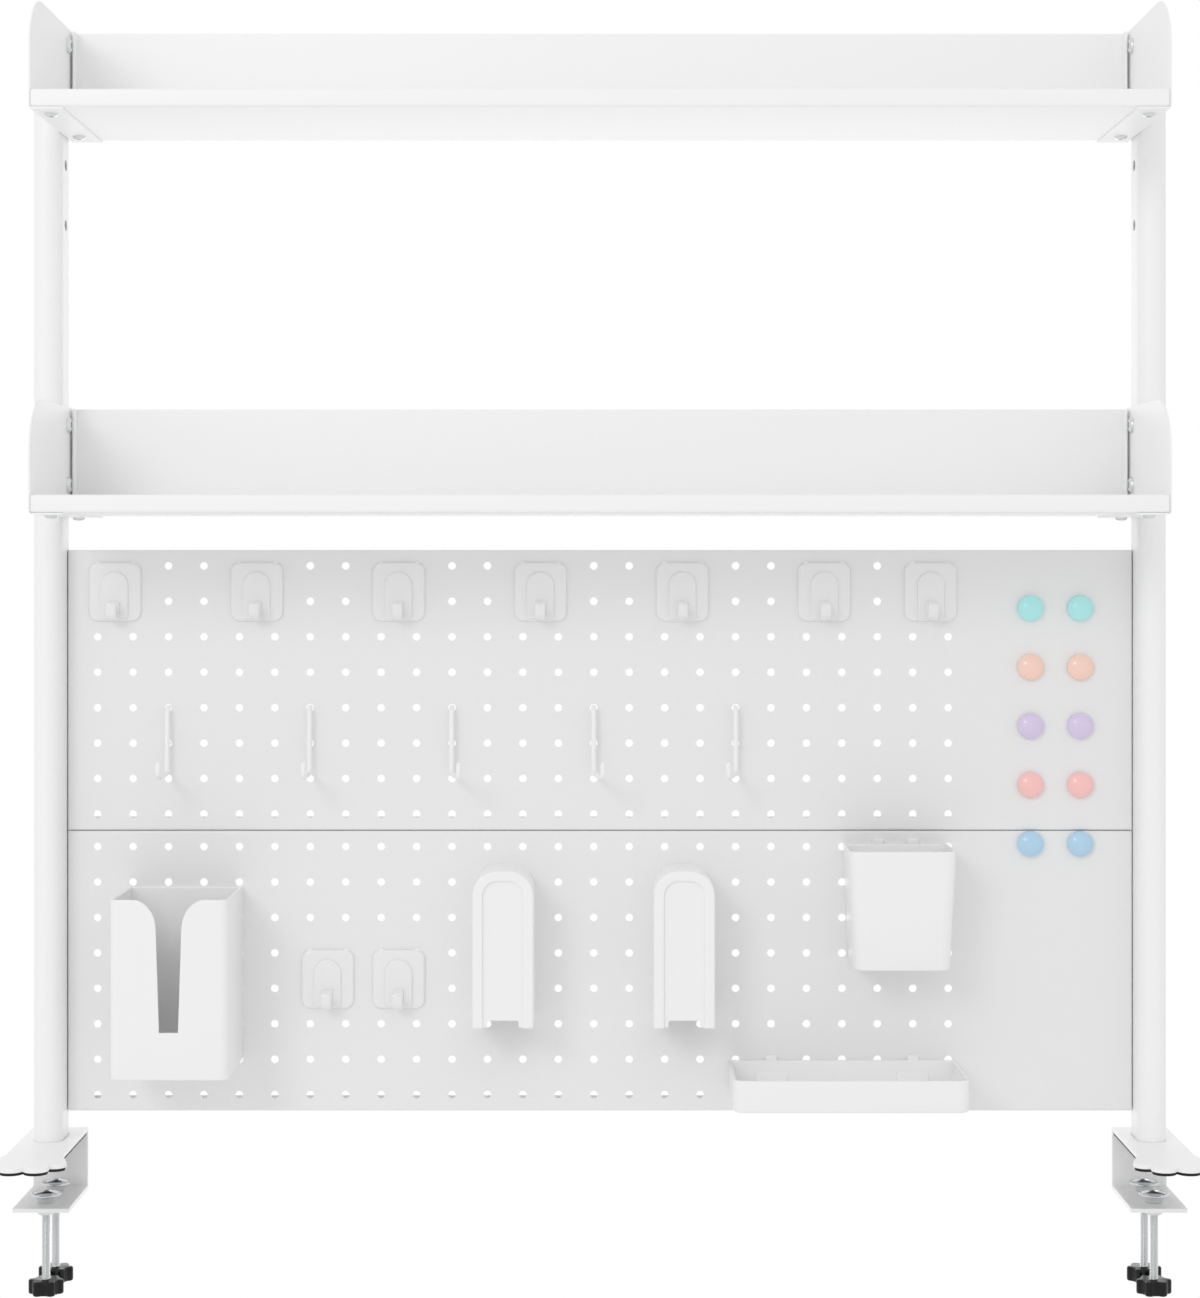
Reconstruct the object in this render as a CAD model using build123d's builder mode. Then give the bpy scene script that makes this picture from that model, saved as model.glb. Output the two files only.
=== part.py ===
from build123d import *
import math
import os

os.makedirs("parts", exist_ok=True)

# Clamp-on desk shelf, in millimetres
# X runs to the right, Y towards the back of the desk, Z up
# The origin is on the desk top, midway between the clamps, at the desk's rear edge

# Frame: two upright posts of flat oval tube
POST_SPACING = 752.0
POST_WIDTH = 20.0
POST_DEPTH = 40.0
POST_WALL = 1.2
POST_CENTRE_Y = -32.3
POST_TOP = 783.0
CAP_FLANGE = 2.0
CAP_PLUG_DEPTH = 6.0
CAP_PLUG_GAP = 0.3
POST_BOLT_PITCH = 42.2
SPARE_HOLE_RADIUS = 4.0
SPARE_HOLES = 2

# Shelves: hollow folded panels between two bent end panels
SHELF_DEPTH = 150.0
SHELF_THICKNESS = 12.0
LOWER_SHELF_TOP = 454.0
UPPER_SHELF_TOP = 721.0
SHELF_SHEET = 1.2
BACKSTOP_HEIGHT = 64.0
BACKSTOP_SIDE_GAP = 3.8
END_GAP = 0.3
END_SHEET = 1.2
END_HEIGHT = 65.0
END_FRONT_HEIGHT = 27.0
END_CURVE_DEPTH = 43.0
END_FLANGE_WIDTH = 22.5
SHELF_BOLT_RISE = 9.9
FLANGE_SCREW_INSET = 11.0
FLANGE_SCREW_FRONT_EDGE = 21.3
FLANGE_SCREW_BACK_EDGE = 28.7

# Screws and bolts, drawn with flat sides because they are small and many
FASTENER_SIDES = 4
HEAD_SIDES = 6
SCREW_HEAD_RADIUS = 4.5
SCREW_HEAD_HEIGHT = 2.2
SCREW_RADIUS = 2.0
SCREW_LENGTH = 6.0
BOLT_HEAD_RADIUS = 5.5
BOLT_HEAD_HEIGHT = 2.8
BOLT_RADIUS = 2.8
BOLT_LENGTH = 8.0
FASTENER_GAP = 0.3

# Pegboards: two folded steel pans, one above the other
BOARD_FACE_Y = -28.5
BOARD_SHEET = 1.2
BOARD_HEIGHT = 197.5
BOARD_SEAM = 0.5
LOWER_BOARD_BOTTOM = 22.5
BOARD_FLANGE = 15.0
BOARD_LIP = 9.5
BOARD_SCREW_BACKSET = 8.5
BOARD_SCREW_EDGE = 30.0

# Peg holes: a square grid that starts near the left edge
PEG_PITCH = 25.0
PEG_COLUMNS = 25
PEG_ROWS = 8
PEG_HOLE_RADIUS = 2.75
FIRST_COLUMN_INSET = 21.6
FIRST_ROW_INSET = 11.2
PEG_RADIUS = 2.0
PEG_SIDES = 4
PEG_LENGTH = 5.5
MOUNT_COLUMN = 11
MOUNT_ROW = 2

# Desk clamps
CLAMP_WIDTH = 39.0
CLAMP_STEEL = 3.0
CLAMP_PAD_THICKNESS = 2.0
CLAMP_PAD_INSET = 1.0
PLATE_REACH = 137.0
PLATE_FLARE = 26.5
CENTRE_LOBE_RADIUS = 9.0
CENTRE_LOBE_OFFSET = 8.2
SIDE_LOBE_RADIUS = 8.0
SIDE_LOBE_SETBACK = 13.0
LOBE_SIDES = 12
FLARE_START = 92.0
JAW_TOP = -36.6
JAW_REACH = 71.0
CLAMP_BEND_RADIUS = 2.8
SLOT_GAP = 0.3
SLOT_CORNER = 5.5

# Clamp rods with their feet and knobs, two in each clamp
ROD_REAR_Y = -17.0
ROD_FRONT_Y = -52.0
ROD_RADIUS = 3.0
ROD_RUNNING_GAP = 0.05
ROD_JAW_GAP = 0.4
ROD_HOLE_SIDES = 8
ROD_TOP = -32.4
ROD_BOTTOM = -97.0
NUT_FLATS = 10.0
NUT_HEIGHT = 5.0
FOOT_TOP = -30.0
FOOT_RADIUS = 10.5
FOOT_HUB_RADIUS = 5.0
FOOT_WALL = 1.6
FOOT_DISH_DEPTH = 1.6
FOOT_LIFT = 0.3
FOOT_SIDES = 8
FOOT_TIP_GAP = 0.2
KNOB_TOP = -90.0
KNOB_HEIGHT = 10.0
KNOB_RADIUS = 12.2
KNOB_LOBES = 6
KNOB_LOBE_RADIUS = 3.4
KNOB_CORE_RADIUS = 9.8
KNOB_LOBE_SIDES = 6
KNOB_GRIP_GAP = 0.05

# Plate hooks: a small moulded plate with one upturned hook
HOOK_PLATE_WIDTH = 37.0
HOOK_PLATE_HEIGHT = 41.5
HOOK_PLATE_THICKNESS = 2.5
HOOK_PLATE_CORNER = 5.0
HOOK_PLATE_DROP = 5.8
HOOK_STRAP_WIDTH = 19.0
HOOK_STRAP_HEIGHT = 28.0
HOOK_STRAP_THICKNESS = 1.5
HOOK_WIDTH = 7.0
HOOK_OUTER = 8.0
HOOK_INNER = 4.8
HOOK_CURL_DROP = 12.0
HOOK_TIP_RISE = 4.5
HOOK_SIDES = 8
UPPER_HOOK_COLUMNS = (0, 4, 8, 12, 16, 20, 23)
LOWER_HOOK_COLUMNS = (6, 8)
LOWER_HOOK_ROW = 3

# Wire hooks: one bent rod each, held in two holes
WIRE_RADIUS = 1.75
WIRE_STANDOFF = 6.0
WIRE_STEM = 46.0
WIRE_REACH = 46.0
WIRE_TIP_RISE = 11.0
WIRE_TIP_LEAN = 1.0
WIRE_BEND = 5.0
WIRE_SIDES = 6
WIRE_TOP_ROW = 4
WIRE_COLUMNS = (2, 6, 10, 14, 18)
WIRE_TURNS = (0.0, 0.0, 10.0, 9.0, -10.0)

# Tissue box with an open top and a tapered front slot
TISSUE_WIDTH = 80.0
TISSUE_DEPTH = 81.0
TISSUE_BOTTOM = 58.7
TISSUE_TOP = 181.0
TISSUE_WALL = 2.0
TISSUE_CORNER = 6.0
TISSUE_SLOT_BOTTOM = 91.0
TISSUE_SLOT_LOW_WIDTH = 13.0
TISSUE_SLOT_HIGH_WIDTH = 17.5
TISSUE_MOUTH_WIDTH = 52.0
TISSUE_MOUTH_DEPTH = 20.0
TISSUE_COLUMN = 2
TISSUE_PEG_ROWS = (2, 5)

# Pen cup that narrows towards its floor
CUP_TOP_WIDTH = 74.0
CUP_TOP_DEPTH = 57.0
CUP_BOTTOM_WIDTH = 66.0
CUP_BOTTOM_DEPTH = 52.0
CUP_BOTTOM = 128.5
CUP_TOP = 211.0
CUP_WALL = 2.0
CUP_CORNER = 8.0
CUP_COLUMN = 22
CUP_PEG_ROWS = (1, 2)

# Small tabs that stand on the back rim of the cup and tray
RIM_TAB_WIDTH = 8.0
RIM_TAB_RISE = 3.5

# Small tray with two wedge bosses inside its back wall
TRAY_WIDTH = 160.0
TRAY_DEPTH = 81.0
TRAY_BOTTOM = 36.6
TRAY_TOP = 58.5
TRAY_WALL = 2.0
TRAY_CORNER = 8.0
TRAY_BOSS_WIDTH = 22.0
TRAY_BOSS_DEPTH = 6.0
TRAY_BOSS_HEIGHT = 12.0
TRAY_COLUMNS = (19, 23)
TRAY_PEG_ROW = 6

# Arched holders, open below, with a sunk front
ARCH_WIDTH = 42.0
ARCH_BOTTOM = 89.0
ARCH_TOP = 197.0
ARCH_DEPTH = 50.0
ARCH_WALL = 2.5
ARCH_RIM = 7.0
ARCH_SINK = 2.0
ARCH_NOTCH_WIDTH = 22.0
ARCH_NOTCH_HEIGHT = 7.0
ARCH_SHOULDER = 17.0
ARCH_COLUMNS = (11, 16)
ARCH_PEG_ROWS = (1, 3)

# Round magnets in five pairs
MAGNET_RADIUS = 9.0
MAGNET_HEIGHT = 7.0
MAGNET_BAND = 3.5
MAGNET_FACE_INSET = 3.2
MAGNET_SIDES = 10
MAGNET_LEFT_X = 303.4
MAGNET_RIGHT_X = 338.5
MAGNET_TOP_Z = 377.0
MAGNET_PITCH = 41.5
MAGNET_COLOURS = ("mint", "peach", "lilac", "coral", "blue")

# Places worked out from the sizes above
HALF_SPACING = POST_SPACING / 2
POST_CENTRE_X = HALF_SPACING + POST_WIDTH / 2
SHELF_BACK_Y = POST_CENTRE_Y + POST_DEPTH / 2
SHELF_FRONT_Y = SHELF_BACK_Y - SHELF_DEPTH
SHELF_MIDDLE_Y = (SHELF_FRONT_Y + SHELF_BACK_Y) / 2
SHELF_TOPS = {"lower": LOWER_SHELF_TOP, "upper": UPPER_SHELF_TOP}
PANEL_LENGTH = POST_SPACING - 2 * (END_SHEET + END_GAP)
PLATE_UNDERSIDE = CLAMP_PAD_THICKNESS
PLATE_TOP = PLATE_UNDERSIDE + CLAMP_STEEL
JAW_UNDERSIDE = JAW_TOP - CLAMP_STEEL
FOOT_BOTTOM = JAW_TOP + FOOT_LIFT
UPPER_BOARD_BOTTOM = LOWER_BOARD_BOTTOM + BOARD_HEIGHT + BOARD_SEAM
BOARD_BOTTOMS = {"lower": LOWER_BOARD_BOTTOM, "upper": UPPER_BOARD_BOTTOM}
BOARD_SCREW_Y = BOARD_FACE_Y + BOARD_SCREW_BACKSET
PEG_HOLE_SIDE = PEG_HOLE_RADIUS * math.sqrt(math.pi)
SIDES = {"left": -1, "right": 1}
ROD_PLACES = {"rear": ROD_REAR_Y, "front": ROD_FRONT_Y}


def board_plane(height=0.0):
    """Plane in front of the pegboard's face, with X across and Z up as its axes."""
    return Plane(origin=(0, BOARD_FACE_Y - height, 0), x_dir=(1, 0, 0), z_dir=(0, -1, 0))


def post_plane(side, y, z, inset=0.0):
    """Plane on a post's inner side, or inset from it, facing the middle of the shelf."""
    x = SIDES[side] * (HALF_SPACING - inset)
    return Plane(origin=(x, y, z), x_dir=(0, 1, 0), z_dir=(-SIDES[side], 0, 0))


def column_x(column):
    """Place across the board of a column of peg holes."""
    return -HALF_SPACING + FIRST_COLUMN_INSET + PEG_PITCH * column


def row_z(level, row):
    """Height of a row of peg holes, counted down from its board's top edge."""
    return BOARD_BOTTOMS[level] + BOARD_HEIGHT - FIRST_ROW_INSET - PEG_PITCH * row


def hole_places(level, columns, rows):
    """Centres of the peg holes in the given columns and rows, on the board's plane."""
    return [(column_x(column), row_z(level, row)) for column in columns for row in rows]


def shelf_bolt_heights(level):
    """Heights of the two bolts that hold one end panel to its post."""
    lowest = SHELF_TOPS[level] + SHELF_BOLT_RISE
    return [lowest, lowest + POST_BOLT_PITCH]


def board_screw_heights():
    """Heights of the screws through the side flanges of both pegboards."""
    bottoms = BOARD_BOTTOMS.values()
    low = [bottom + BOARD_SCREW_EDGE for bottom in bottoms]
    high = [bottom + BOARD_HEIGHT - BOARD_SCREW_EDGE for bottom in bottoms]
    return low + high


def flange_screw_places():
    """Where the screws go up through the flanges of a shelf's two end panels."""
    x = HALF_SPACING - FLANGE_SCREW_INSET
    front = SHELF_FRONT_Y + FLANGE_SCREW_FRONT_EDGE
    back = SHELF_BACK_Y - FLANGE_SCREW_BACK_EDGE
    return [(-x, front), (-x, back), (x, front), (x, back)]


def write_piece(part, name):
    """Label a finished piece and write its file."""
    part.label = name
    export_step(part, f"parts/{name}.step")


def make_post(side):
    """Upright post of flat oval tube, with its bolt holes and two spare ones."""
    centre = (SIDES[side] * POST_CENTRE_X, POST_CENTRE_Y)
    with BuildPart() as post:
        with BuildSketch(Plane.XY.offset(PLATE_UNDERSIDE)):
            with Locations(centre):
                SlotOverall(POST_DEPTH, POST_WIDTH, rotation=90)
                inner_depth = POST_DEPTH - 2 * POST_WALL
                inner_width = POST_WIDTH - 2 * POST_WALL
                SlotOverall(inner_depth, inner_width, rotation=90, mode=Mode.SUBTRACT)
        extrude(amount=POST_TOP - PLATE_UNDERSIDE)
        for step in range(1, SPARE_HOLES + 1):
            z = UPPER_SHELF_TOP + SHELF_BOLT_RISE - step * POST_BOLT_PITCH
            with Locations(post_plane(side, POST_CENTRE_Y, z)):
                Hole(SPARE_HOLE_RADIUS, depth=POST_WIDTH / 2)
        for z in shelf_bolt_heights("lower") + shelf_bolt_heights("upper"):
            with BuildSketch(post_plane(side, POST_CENTRE_Y, z)):
                RegularPolygon(BOLT_RADIUS + FASTENER_GAP, FASTENER_SIDES)
        extrude(amount=-POST_WIDTH / 2, mode=Mode.SUBTRACT)
    write_piece(post.part, f"{side}_post")


def make_post_caps():
    """Moulded caps that close the tops of both posts."""
    centres = [(sign * POST_CENTRE_X, POST_CENTRE_Y) for sign in SIDES.values()]
    plug_width = POST_WIDTH - 2 * (POST_WALL + CAP_PLUG_GAP)
    with BuildPart() as caps:
        with BuildSketch(Plane.XY.offset(POST_TOP)):
            with Locations(*centres):
                SlotOverall(POST_DEPTH, POST_WIDTH, rotation=90)
        extrude(amount=CAP_FLANGE)
        with BuildSketch(Plane.XY.offset(POST_TOP)):
            with Locations(*centres):
                Rectangle(plug_width, POST_DEPTH - POST_WIDTH)
        extrude(amount=-CAP_PLUG_DEPTH)
    write_piece(caps.part, "post_caps")


def plate_outline(inset, back_y):
    """Clamp plate outline: a strip that flares into a front edge of four lobes."""
    half = CLAMP_WIDTH / 2 - inset
    centre_lobe = (CENTRE_LOBE_OFFSET, CENTRE_LOBE_RADIUS - PLATE_REACH)
    side_lobe = (
        PLATE_FLARE - SIDE_LOBE_RADIUS,
        SIDE_LOBE_RADIUS + SIDE_LOBE_SETBACK - PLATE_REACH,
    )
    right_edge = [(half, back_y), (half, -FLARE_START), side_lobe, centre_lobe]
    left_edge = [(-x, y) for x, y in reversed(right_edge)]
    with BuildSketch() as outline:
        with BuildLine():
            Polyline(*right_edge, *left_edge, close=True)
        make_face()
        for radius, (x, y) in (
            (CENTRE_LOBE_RADIUS, centre_lobe),
            (SIDE_LOBE_RADIUS, side_lobe),
        ):
            with Locations((-x, y), (x, y)):
                RegularPolygon(radius - inset, LOBE_SIDES)
    return outline.sketch


def make_clamp_bracket(side):
    """Steel strip bent into a C: a lobed plate on the desk, a web and a jaw below."""
    centre_x = SIDES[side] * POST_CENTRE_X
    with BuildPart() as bracket:
        with BuildSketch(Plane(origin=(centre_x, 0, PLATE_UNDERSIDE))):
            add(plate_outline(0.0, CLAMP_STEEL))
        extrude(amount=CLAMP_STEEL)
        with BuildSketch(Plane.YZ.offset(centre_x)):
            with BuildLine():
                Polyline(
                    (0, PLATE_TOP),
                    (CLAMP_STEEL, PLATE_TOP),
                    (CLAMP_STEEL, JAW_UNDERSIDE),
                    (-JAW_REACH, JAW_UNDERSIDE),
                    (-JAW_REACH, JAW_TOP),
                    (0, JAW_TOP),
                    close=True,
                )
            make_face()
        extrude(amount=CLAMP_WIDTH / 2, both=True)
        fillet(bracket.edges().filter_by(Axis.X).group_by(Axis.Y)[-1], CLAMP_BEND_RADIUS)
        with BuildSketch(Plane.XY.offset(PLATE_UNDERSIDE)) as slot:
            with Locations((centre_x, POST_CENTRE_Y)):
                Rectangle(POST_WIDTH + 2 * SLOT_GAP, POST_DEPTH + 2 * SLOT_GAP)
            chamfer(slot.vertices(), SLOT_CORNER)
        extrude(amount=CLAMP_STEEL, mode=Mode.SUBTRACT)
        with BuildSketch(Plane.XY.offset(JAW_UNDERSIDE)):
            with Locations(*[(centre_x, y) for y in ROD_PLACES.values()]):
                RegularPolygon(ROD_RADIUS + ROD_JAW_GAP, ROD_HOLE_SIDES, major_radius=False)
        extrude(amount=CLAMP_STEEL, mode=Mode.SUBTRACT)
    write_piece(bracket.part, f"{side}_clamp_bracket")


def make_clamp_pad(side):
    """Rubber pad between a clamp plate and the desk, in the plate's own outline."""
    with BuildPart() as pad:
        with BuildSketch(Plane(origin=(SIDES[side] * POST_CENTRE_X, 0, 0))):
            add(plate_outline(CLAMP_PAD_INSET, -CLAMP_PAD_INSET))
        extrude(amount=CLAMP_PAD_THICKNESS)
    write_piece(pad.part, f"{side}_clamp_pad")


def make_clamp_nuts(side):
    """Two nuts welded under the jaw, which carry the clamp rods."""
    centre_x = SIDES[side] * POST_CENTRE_X
    with BuildPart() as nuts:
        with BuildSketch(Plane.XY.offset(JAW_UNDERSIDE)):
            with Locations(*[(centre_x, y) for y in ROD_PLACES.values()]):
                RegularPolygon(NUT_FLATS / 2, 6, major_radius=False)
                RegularPolygon(
                    ROD_RADIUS + ROD_RUNNING_GAP,
                    ROD_HOLE_SIDES,
                    major_radius=False,
                    mode=Mode.SUBTRACT,
                )
        extrude(amount=-NUT_HEIGHT)
    write_piece(nuts.part, f"{side}_clamp_nuts")


def make_clamp_rod(side, place):
    """Threaded clamp rod, drawn plain at its outer diameter."""
    with BuildPart() as rod:
        with BuildSketch(Plane.XY.offset(ROD_BOTTOM)):
            with Locations((SIDES[side] * POST_CENTRE_X, ROD_PLACES[place])):
                Circle(ROD_RADIUS)
        extrude(amount=ROD_TOP - ROD_BOTTOM)
    write_piece(rod.part, f"{side}_{place}_clamp_rod")


def make_clamp_knob(side, place):
    """Lobed knob, moulded on the lower end of a rod."""
    centre = (SIDES[side] * POST_CENTRE_X, ROD_PLACES[place])
    with BuildPart() as knob:
        with BuildSketch(Plane.XY.offset(KNOB_TOP)):
            with Locations(centre):
                RegularPolygon(KNOB_CORE_RADIUS, 2 * KNOB_LOBES)
                with PolarLocations(KNOB_RADIUS - KNOB_LOBE_RADIUS, KNOB_LOBES):
                    RegularPolygon(KNOB_LOBE_RADIUS, KNOB_LOBE_SIDES)
        extrude(amount=-KNOB_HEIGHT)
        with BuildSketch(Plane.XY.offset(KNOB_TOP)):
            with Locations(centre):
                RegularPolygon(ROD_RADIUS + KNOB_GRIP_GAP, KNOB_LOBES, major_radius=False)
        extrude(amount=ROD_BOTTOM - KNOB_TOP, mode=Mode.SUBTRACT)
    write_piece(knob.part, f"{side}_{place}_clamp_knob")


def make_clamp_foot(side, place):
    """Dished foot that turns on the tip of a rod and presses the desk from below."""
    centre = (SIDES[side] * POST_CENTRE_X, ROD_PLACES[place])
    socket_top = ROD_TOP + FOOT_TIP_GAP
    with BuildPart() as foot:
        with BuildSketch(Plane.XY.offset(FOOT_TOP)):
            with Locations(centre):
                RegularPolygon(FOOT_RADIUS, FOOT_SIDES)
        extrude(amount=FOOT_BOTTOM - FOOT_TOP)
        underside = foot.faces().sort_by(Axis.Z)[0]
        rise = FOOT_TOP - FOOT_BOTTOM - FOOT_WALL
        chamfer(underside.edges(), rise, FOOT_RADIUS - FOOT_HUB_RADIUS, reference=underside)
        with BuildSketch(Plane.XY.offset(FOOT_TOP)):
            with Locations(centre):
                RegularPolygon(FOOT_RADIUS - FOOT_WALL, FOOT_SIDES)
        extrude(amount=-FOOT_DISH_DEPTH, mode=Mode.SUBTRACT)
        with BuildSketch(Plane.XY.offset(FOOT_BOTTOM)):
            with Locations(centre):
                RegularPolygon(ROD_RADIUS + ROD_RUNNING_GAP, ROD_HOLE_SIDES, major_radius=False)
        extrude(amount=socket_top - FOOT_BOTTOM, mode=Mode.SUBTRACT)
    write_piece(foot.part, f"{side}_{place}_clamp_foot")


def make_shelf(level):
    """Sheet folded into a hollow panel, with its back edge turned up as a backstop."""
    top = SHELF_TOPS[level]
    with BuildPart() as shelf:
        with BuildSketch(Plane.YZ):
            with Locations((SHELF_MIDDLE_Y, top - SHELF_THICKNESS / 2)):
                Rectangle(SHELF_DEPTH, SHELF_THICKNESS)
                inner_depth = SHELF_DEPTH - 2 * SHELF_SHEET
                inner_height = SHELF_THICKNESS - 2 * SHELF_SHEET
                Rectangle(inner_depth, inner_height, mode=Mode.SUBTRACT)
        extrude(amount=PANEL_LENGTH / 2, both=True)
        with BuildSketch(Plane.XY.offset(top)):
            with Locations((0, SHELF_BACK_Y - SHELF_SHEET / 2)):
                Rectangle(PANEL_LENGTH - 2 * BACKSTOP_SIDE_GAP, SHELF_SHEET)
        extrude(amount=BACKSTOP_HEIGHT)
        with BuildSketch(Plane.XY.offset(top - SHELF_THICKNESS)):
            with Locations(*flange_screw_places()):
                RegularPolygon(SCREW_RADIUS + FASTENER_GAP, FASTENER_SIDES)
        extrude(amount=SHELF_SHEET, mode=Mode.SUBTRACT)
    write_piece(shelf.part, f"{level}_shelf")


def make_end_panel(level, side):
    """Bent sheet with a curved front corner and a flange that carries the shelf."""
    top = SHELF_TOPS[level]
    flange_top = top - SHELF_THICKNESS
    flange_bottom = flange_top - END_SHEET
    corner_y = SHELF_FRONT_Y + END_CURVE_DEPTH
    corner_z = top + END_FRONT_HEIGHT
    inner_x = SIDES[side] * (HALF_SPACING - END_SHEET)
    with BuildPart() as panel:
        with BuildSketch(Plane.YZ.offset(inner_x)):
            with BuildLine():
                Polyline(
                    (corner_y, top + END_HEIGHT),
                    (SHELF_BACK_Y, top + END_HEIGHT),
                    (SHELF_BACK_Y, flange_bottom),
                    (SHELF_FRONT_Y, flange_bottom),
                    (SHELF_FRONT_Y, corner_z),
                )
                EllipticalCenterArc(
                    (corner_y, corner_z),
                    END_CURVE_DEPTH,
                    END_HEIGHT - END_FRONT_HEIGHT,
                    start_angle=90,
                    arc_size=90,
                )
            make_face()
            with Locations(*[(POST_CENTRE_Y, z) for z in shelf_bolt_heights(level)]):
                RegularPolygon(BOLT_RADIUS + FASTENER_GAP, FASTENER_SIDES, mode=Mode.SUBTRACT)
        extrude(amount=SIDES[side] * END_SHEET)
        with BuildSketch(Plane.XY.offset(flange_bottom)):
            flange_x = SIDES[side] * (HALF_SPACING - END_FLANGE_WIDTH / 2)
            with Locations((flange_x, SHELF_MIDDLE_Y)):
                Rectangle(END_FLANGE_WIDTH, SHELF_DEPTH)
            with Locations(*flange_screw_places()):
                RegularPolygon(SCREW_RADIUS + FASTENER_GAP, FASTENER_SIDES, mode=Mode.SUBTRACT)
        extrude(amount=END_SHEET)
    write_piece(panel.part, f"{level}_{side}_end_panel")


def make_shelf_bolts():
    """Pan head bolts from each end panel into its post."""
    with BuildPart() as bolts:
        for side in SIDES:
            for z in shelf_bolt_heights("lower") + shelf_bolt_heights("upper"):
                with BuildSketch(post_plane(side, POST_CENTRE_Y, z, END_SHEET)):
                    RegularPolygon(BOLT_HEAD_RADIUS, HEAD_SIDES)
        extrude(amount=BOLT_HEAD_HEIGHT)
        for side in SIDES:
            for z in shelf_bolt_heights("lower") + shelf_bolt_heights("upper"):
                with BuildSketch(post_plane(side, POST_CENTRE_Y, z, END_SHEET)):
                    RegularPolygon(BOLT_RADIUS, FASTENER_SIDES)
        extrude(amount=-BOLT_LENGTH)
    write_piece(bolts.part, "shelf_bolts")


def make_board_screws():
    """Pan head screws from the pegboards' side flanges into the posts."""
    with BuildPart() as screws:
        for side in SIDES:
            for z in board_screw_heights():
                with BuildSketch(post_plane(side, BOARD_SCREW_Y, z, BOARD_SHEET)):
                    RegularPolygon(SCREW_HEAD_RADIUS, HEAD_SIDES)
        extrude(amount=SCREW_HEAD_HEIGHT)
        for side in SIDES:
            for z in board_screw_heights():
                with BuildSketch(post_plane(side, BOARD_SCREW_Y, z, BOARD_SHEET)):
                    RegularPolygon(SCREW_RADIUS, FASTENER_SIDES)
        extrude(amount=-SCREW_LENGTH)
    write_piece(screws.part, "board_screws")


def make_shelf_screws():
    """Screws that go up through the end panels' flanges into the shelves."""
    with BuildPart() as screws:
        for top in SHELF_TOPS.values():
            with BuildSketch(Plane.XY.offset(top - SHELF_THICKNESS - END_SHEET)):
                with Locations(*flange_screw_places()):
                    RegularPolygon(SCREW_HEAD_RADIUS, HEAD_SIDES)
        extrude(amount=-SCREW_HEAD_HEIGHT)
        for top in SHELF_TOPS.values():
            with BuildSketch(Plane.XY.offset(top - SHELF_THICKNESS - END_SHEET)):
                with Locations(*flange_screw_places()):
                    RegularPolygon(SCREW_RADIUS, FASTENER_SIDES)
        extrude(amount=SCREW_LENGTH)
    write_piece(screws.part, "shelf_screws")


def make_pegboard(level):
    """Steel pan: a punched face with flanges and return lips on all four sides."""
    middle_z = BOARD_BOTTOMS[level] + BOARD_HEIGHT / 2
    columns = (MOUNT_COLUMN, MOUNT_COLUMN + 1) if level == "upper" else ()
    round_places = hole_places(level, columns, (MOUNT_ROW, MOUNT_ROW + 1))
    all_places = hole_places(level, range(PEG_COLUMNS), range(PEG_ROWS))
    with BuildPart() as board:
        with BuildSketch(board_plane()):
            with Locations((0, middle_z)):
                Rectangle(POST_SPACING, BOARD_HEIGHT)
        extrude(amount=-BOARD_FLANGE)
        with BuildSketch(board_plane(-BOARD_SHEET)):
            with Locations((0, middle_z)):
                Rectangle(POST_SPACING - 2 * BOARD_SHEET, BOARD_HEIGHT - 2 * BOARD_SHEET)
        extrude(amount=-(BOARD_FLANGE - 2 * BOARD_SHEET), mode=Mode.SUBTRACT)
        with BuildSketch(board_plane(-BOARD_FLANGE)):
            with Locations((0, middle_z)):
                Rectangle(POST_SPACING - 2 * BOARD_LIP, BOARD_HEIGHT - 2 * BOARD_LIP)
        extrude(amount=BOARD_SHEET, mode=Mode.SUBTRACT)
        with BuildSketch(board_plane()):
            with Locations(*[place for place in all_places if place not in round_places]):
                Rectangle(PEG_HOLE_SIDE, PEG_HOLE_SIDE)
            for place in round_places:
                with Locations(place):
                    Circle(PEG_HOLE_RADIUS)
        extrude(amount=-BOARD_SHEET, mode=Mode.SUBTRACT)
        for side in SIDES:
            for z in board_screw_heights():
                with BuildSketch(post_plane(side, BOARD_SCREW_Y, z)):
                    RegularPolygon(SCREW_RADIUS + FASTENER_GAP, FASTENER_SIDES)
        extrude(amount=BOARD_SHEET, mode=Mode.SUBTRACT)
    write_piece(board.part, f"{level}_pegboard")


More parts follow.
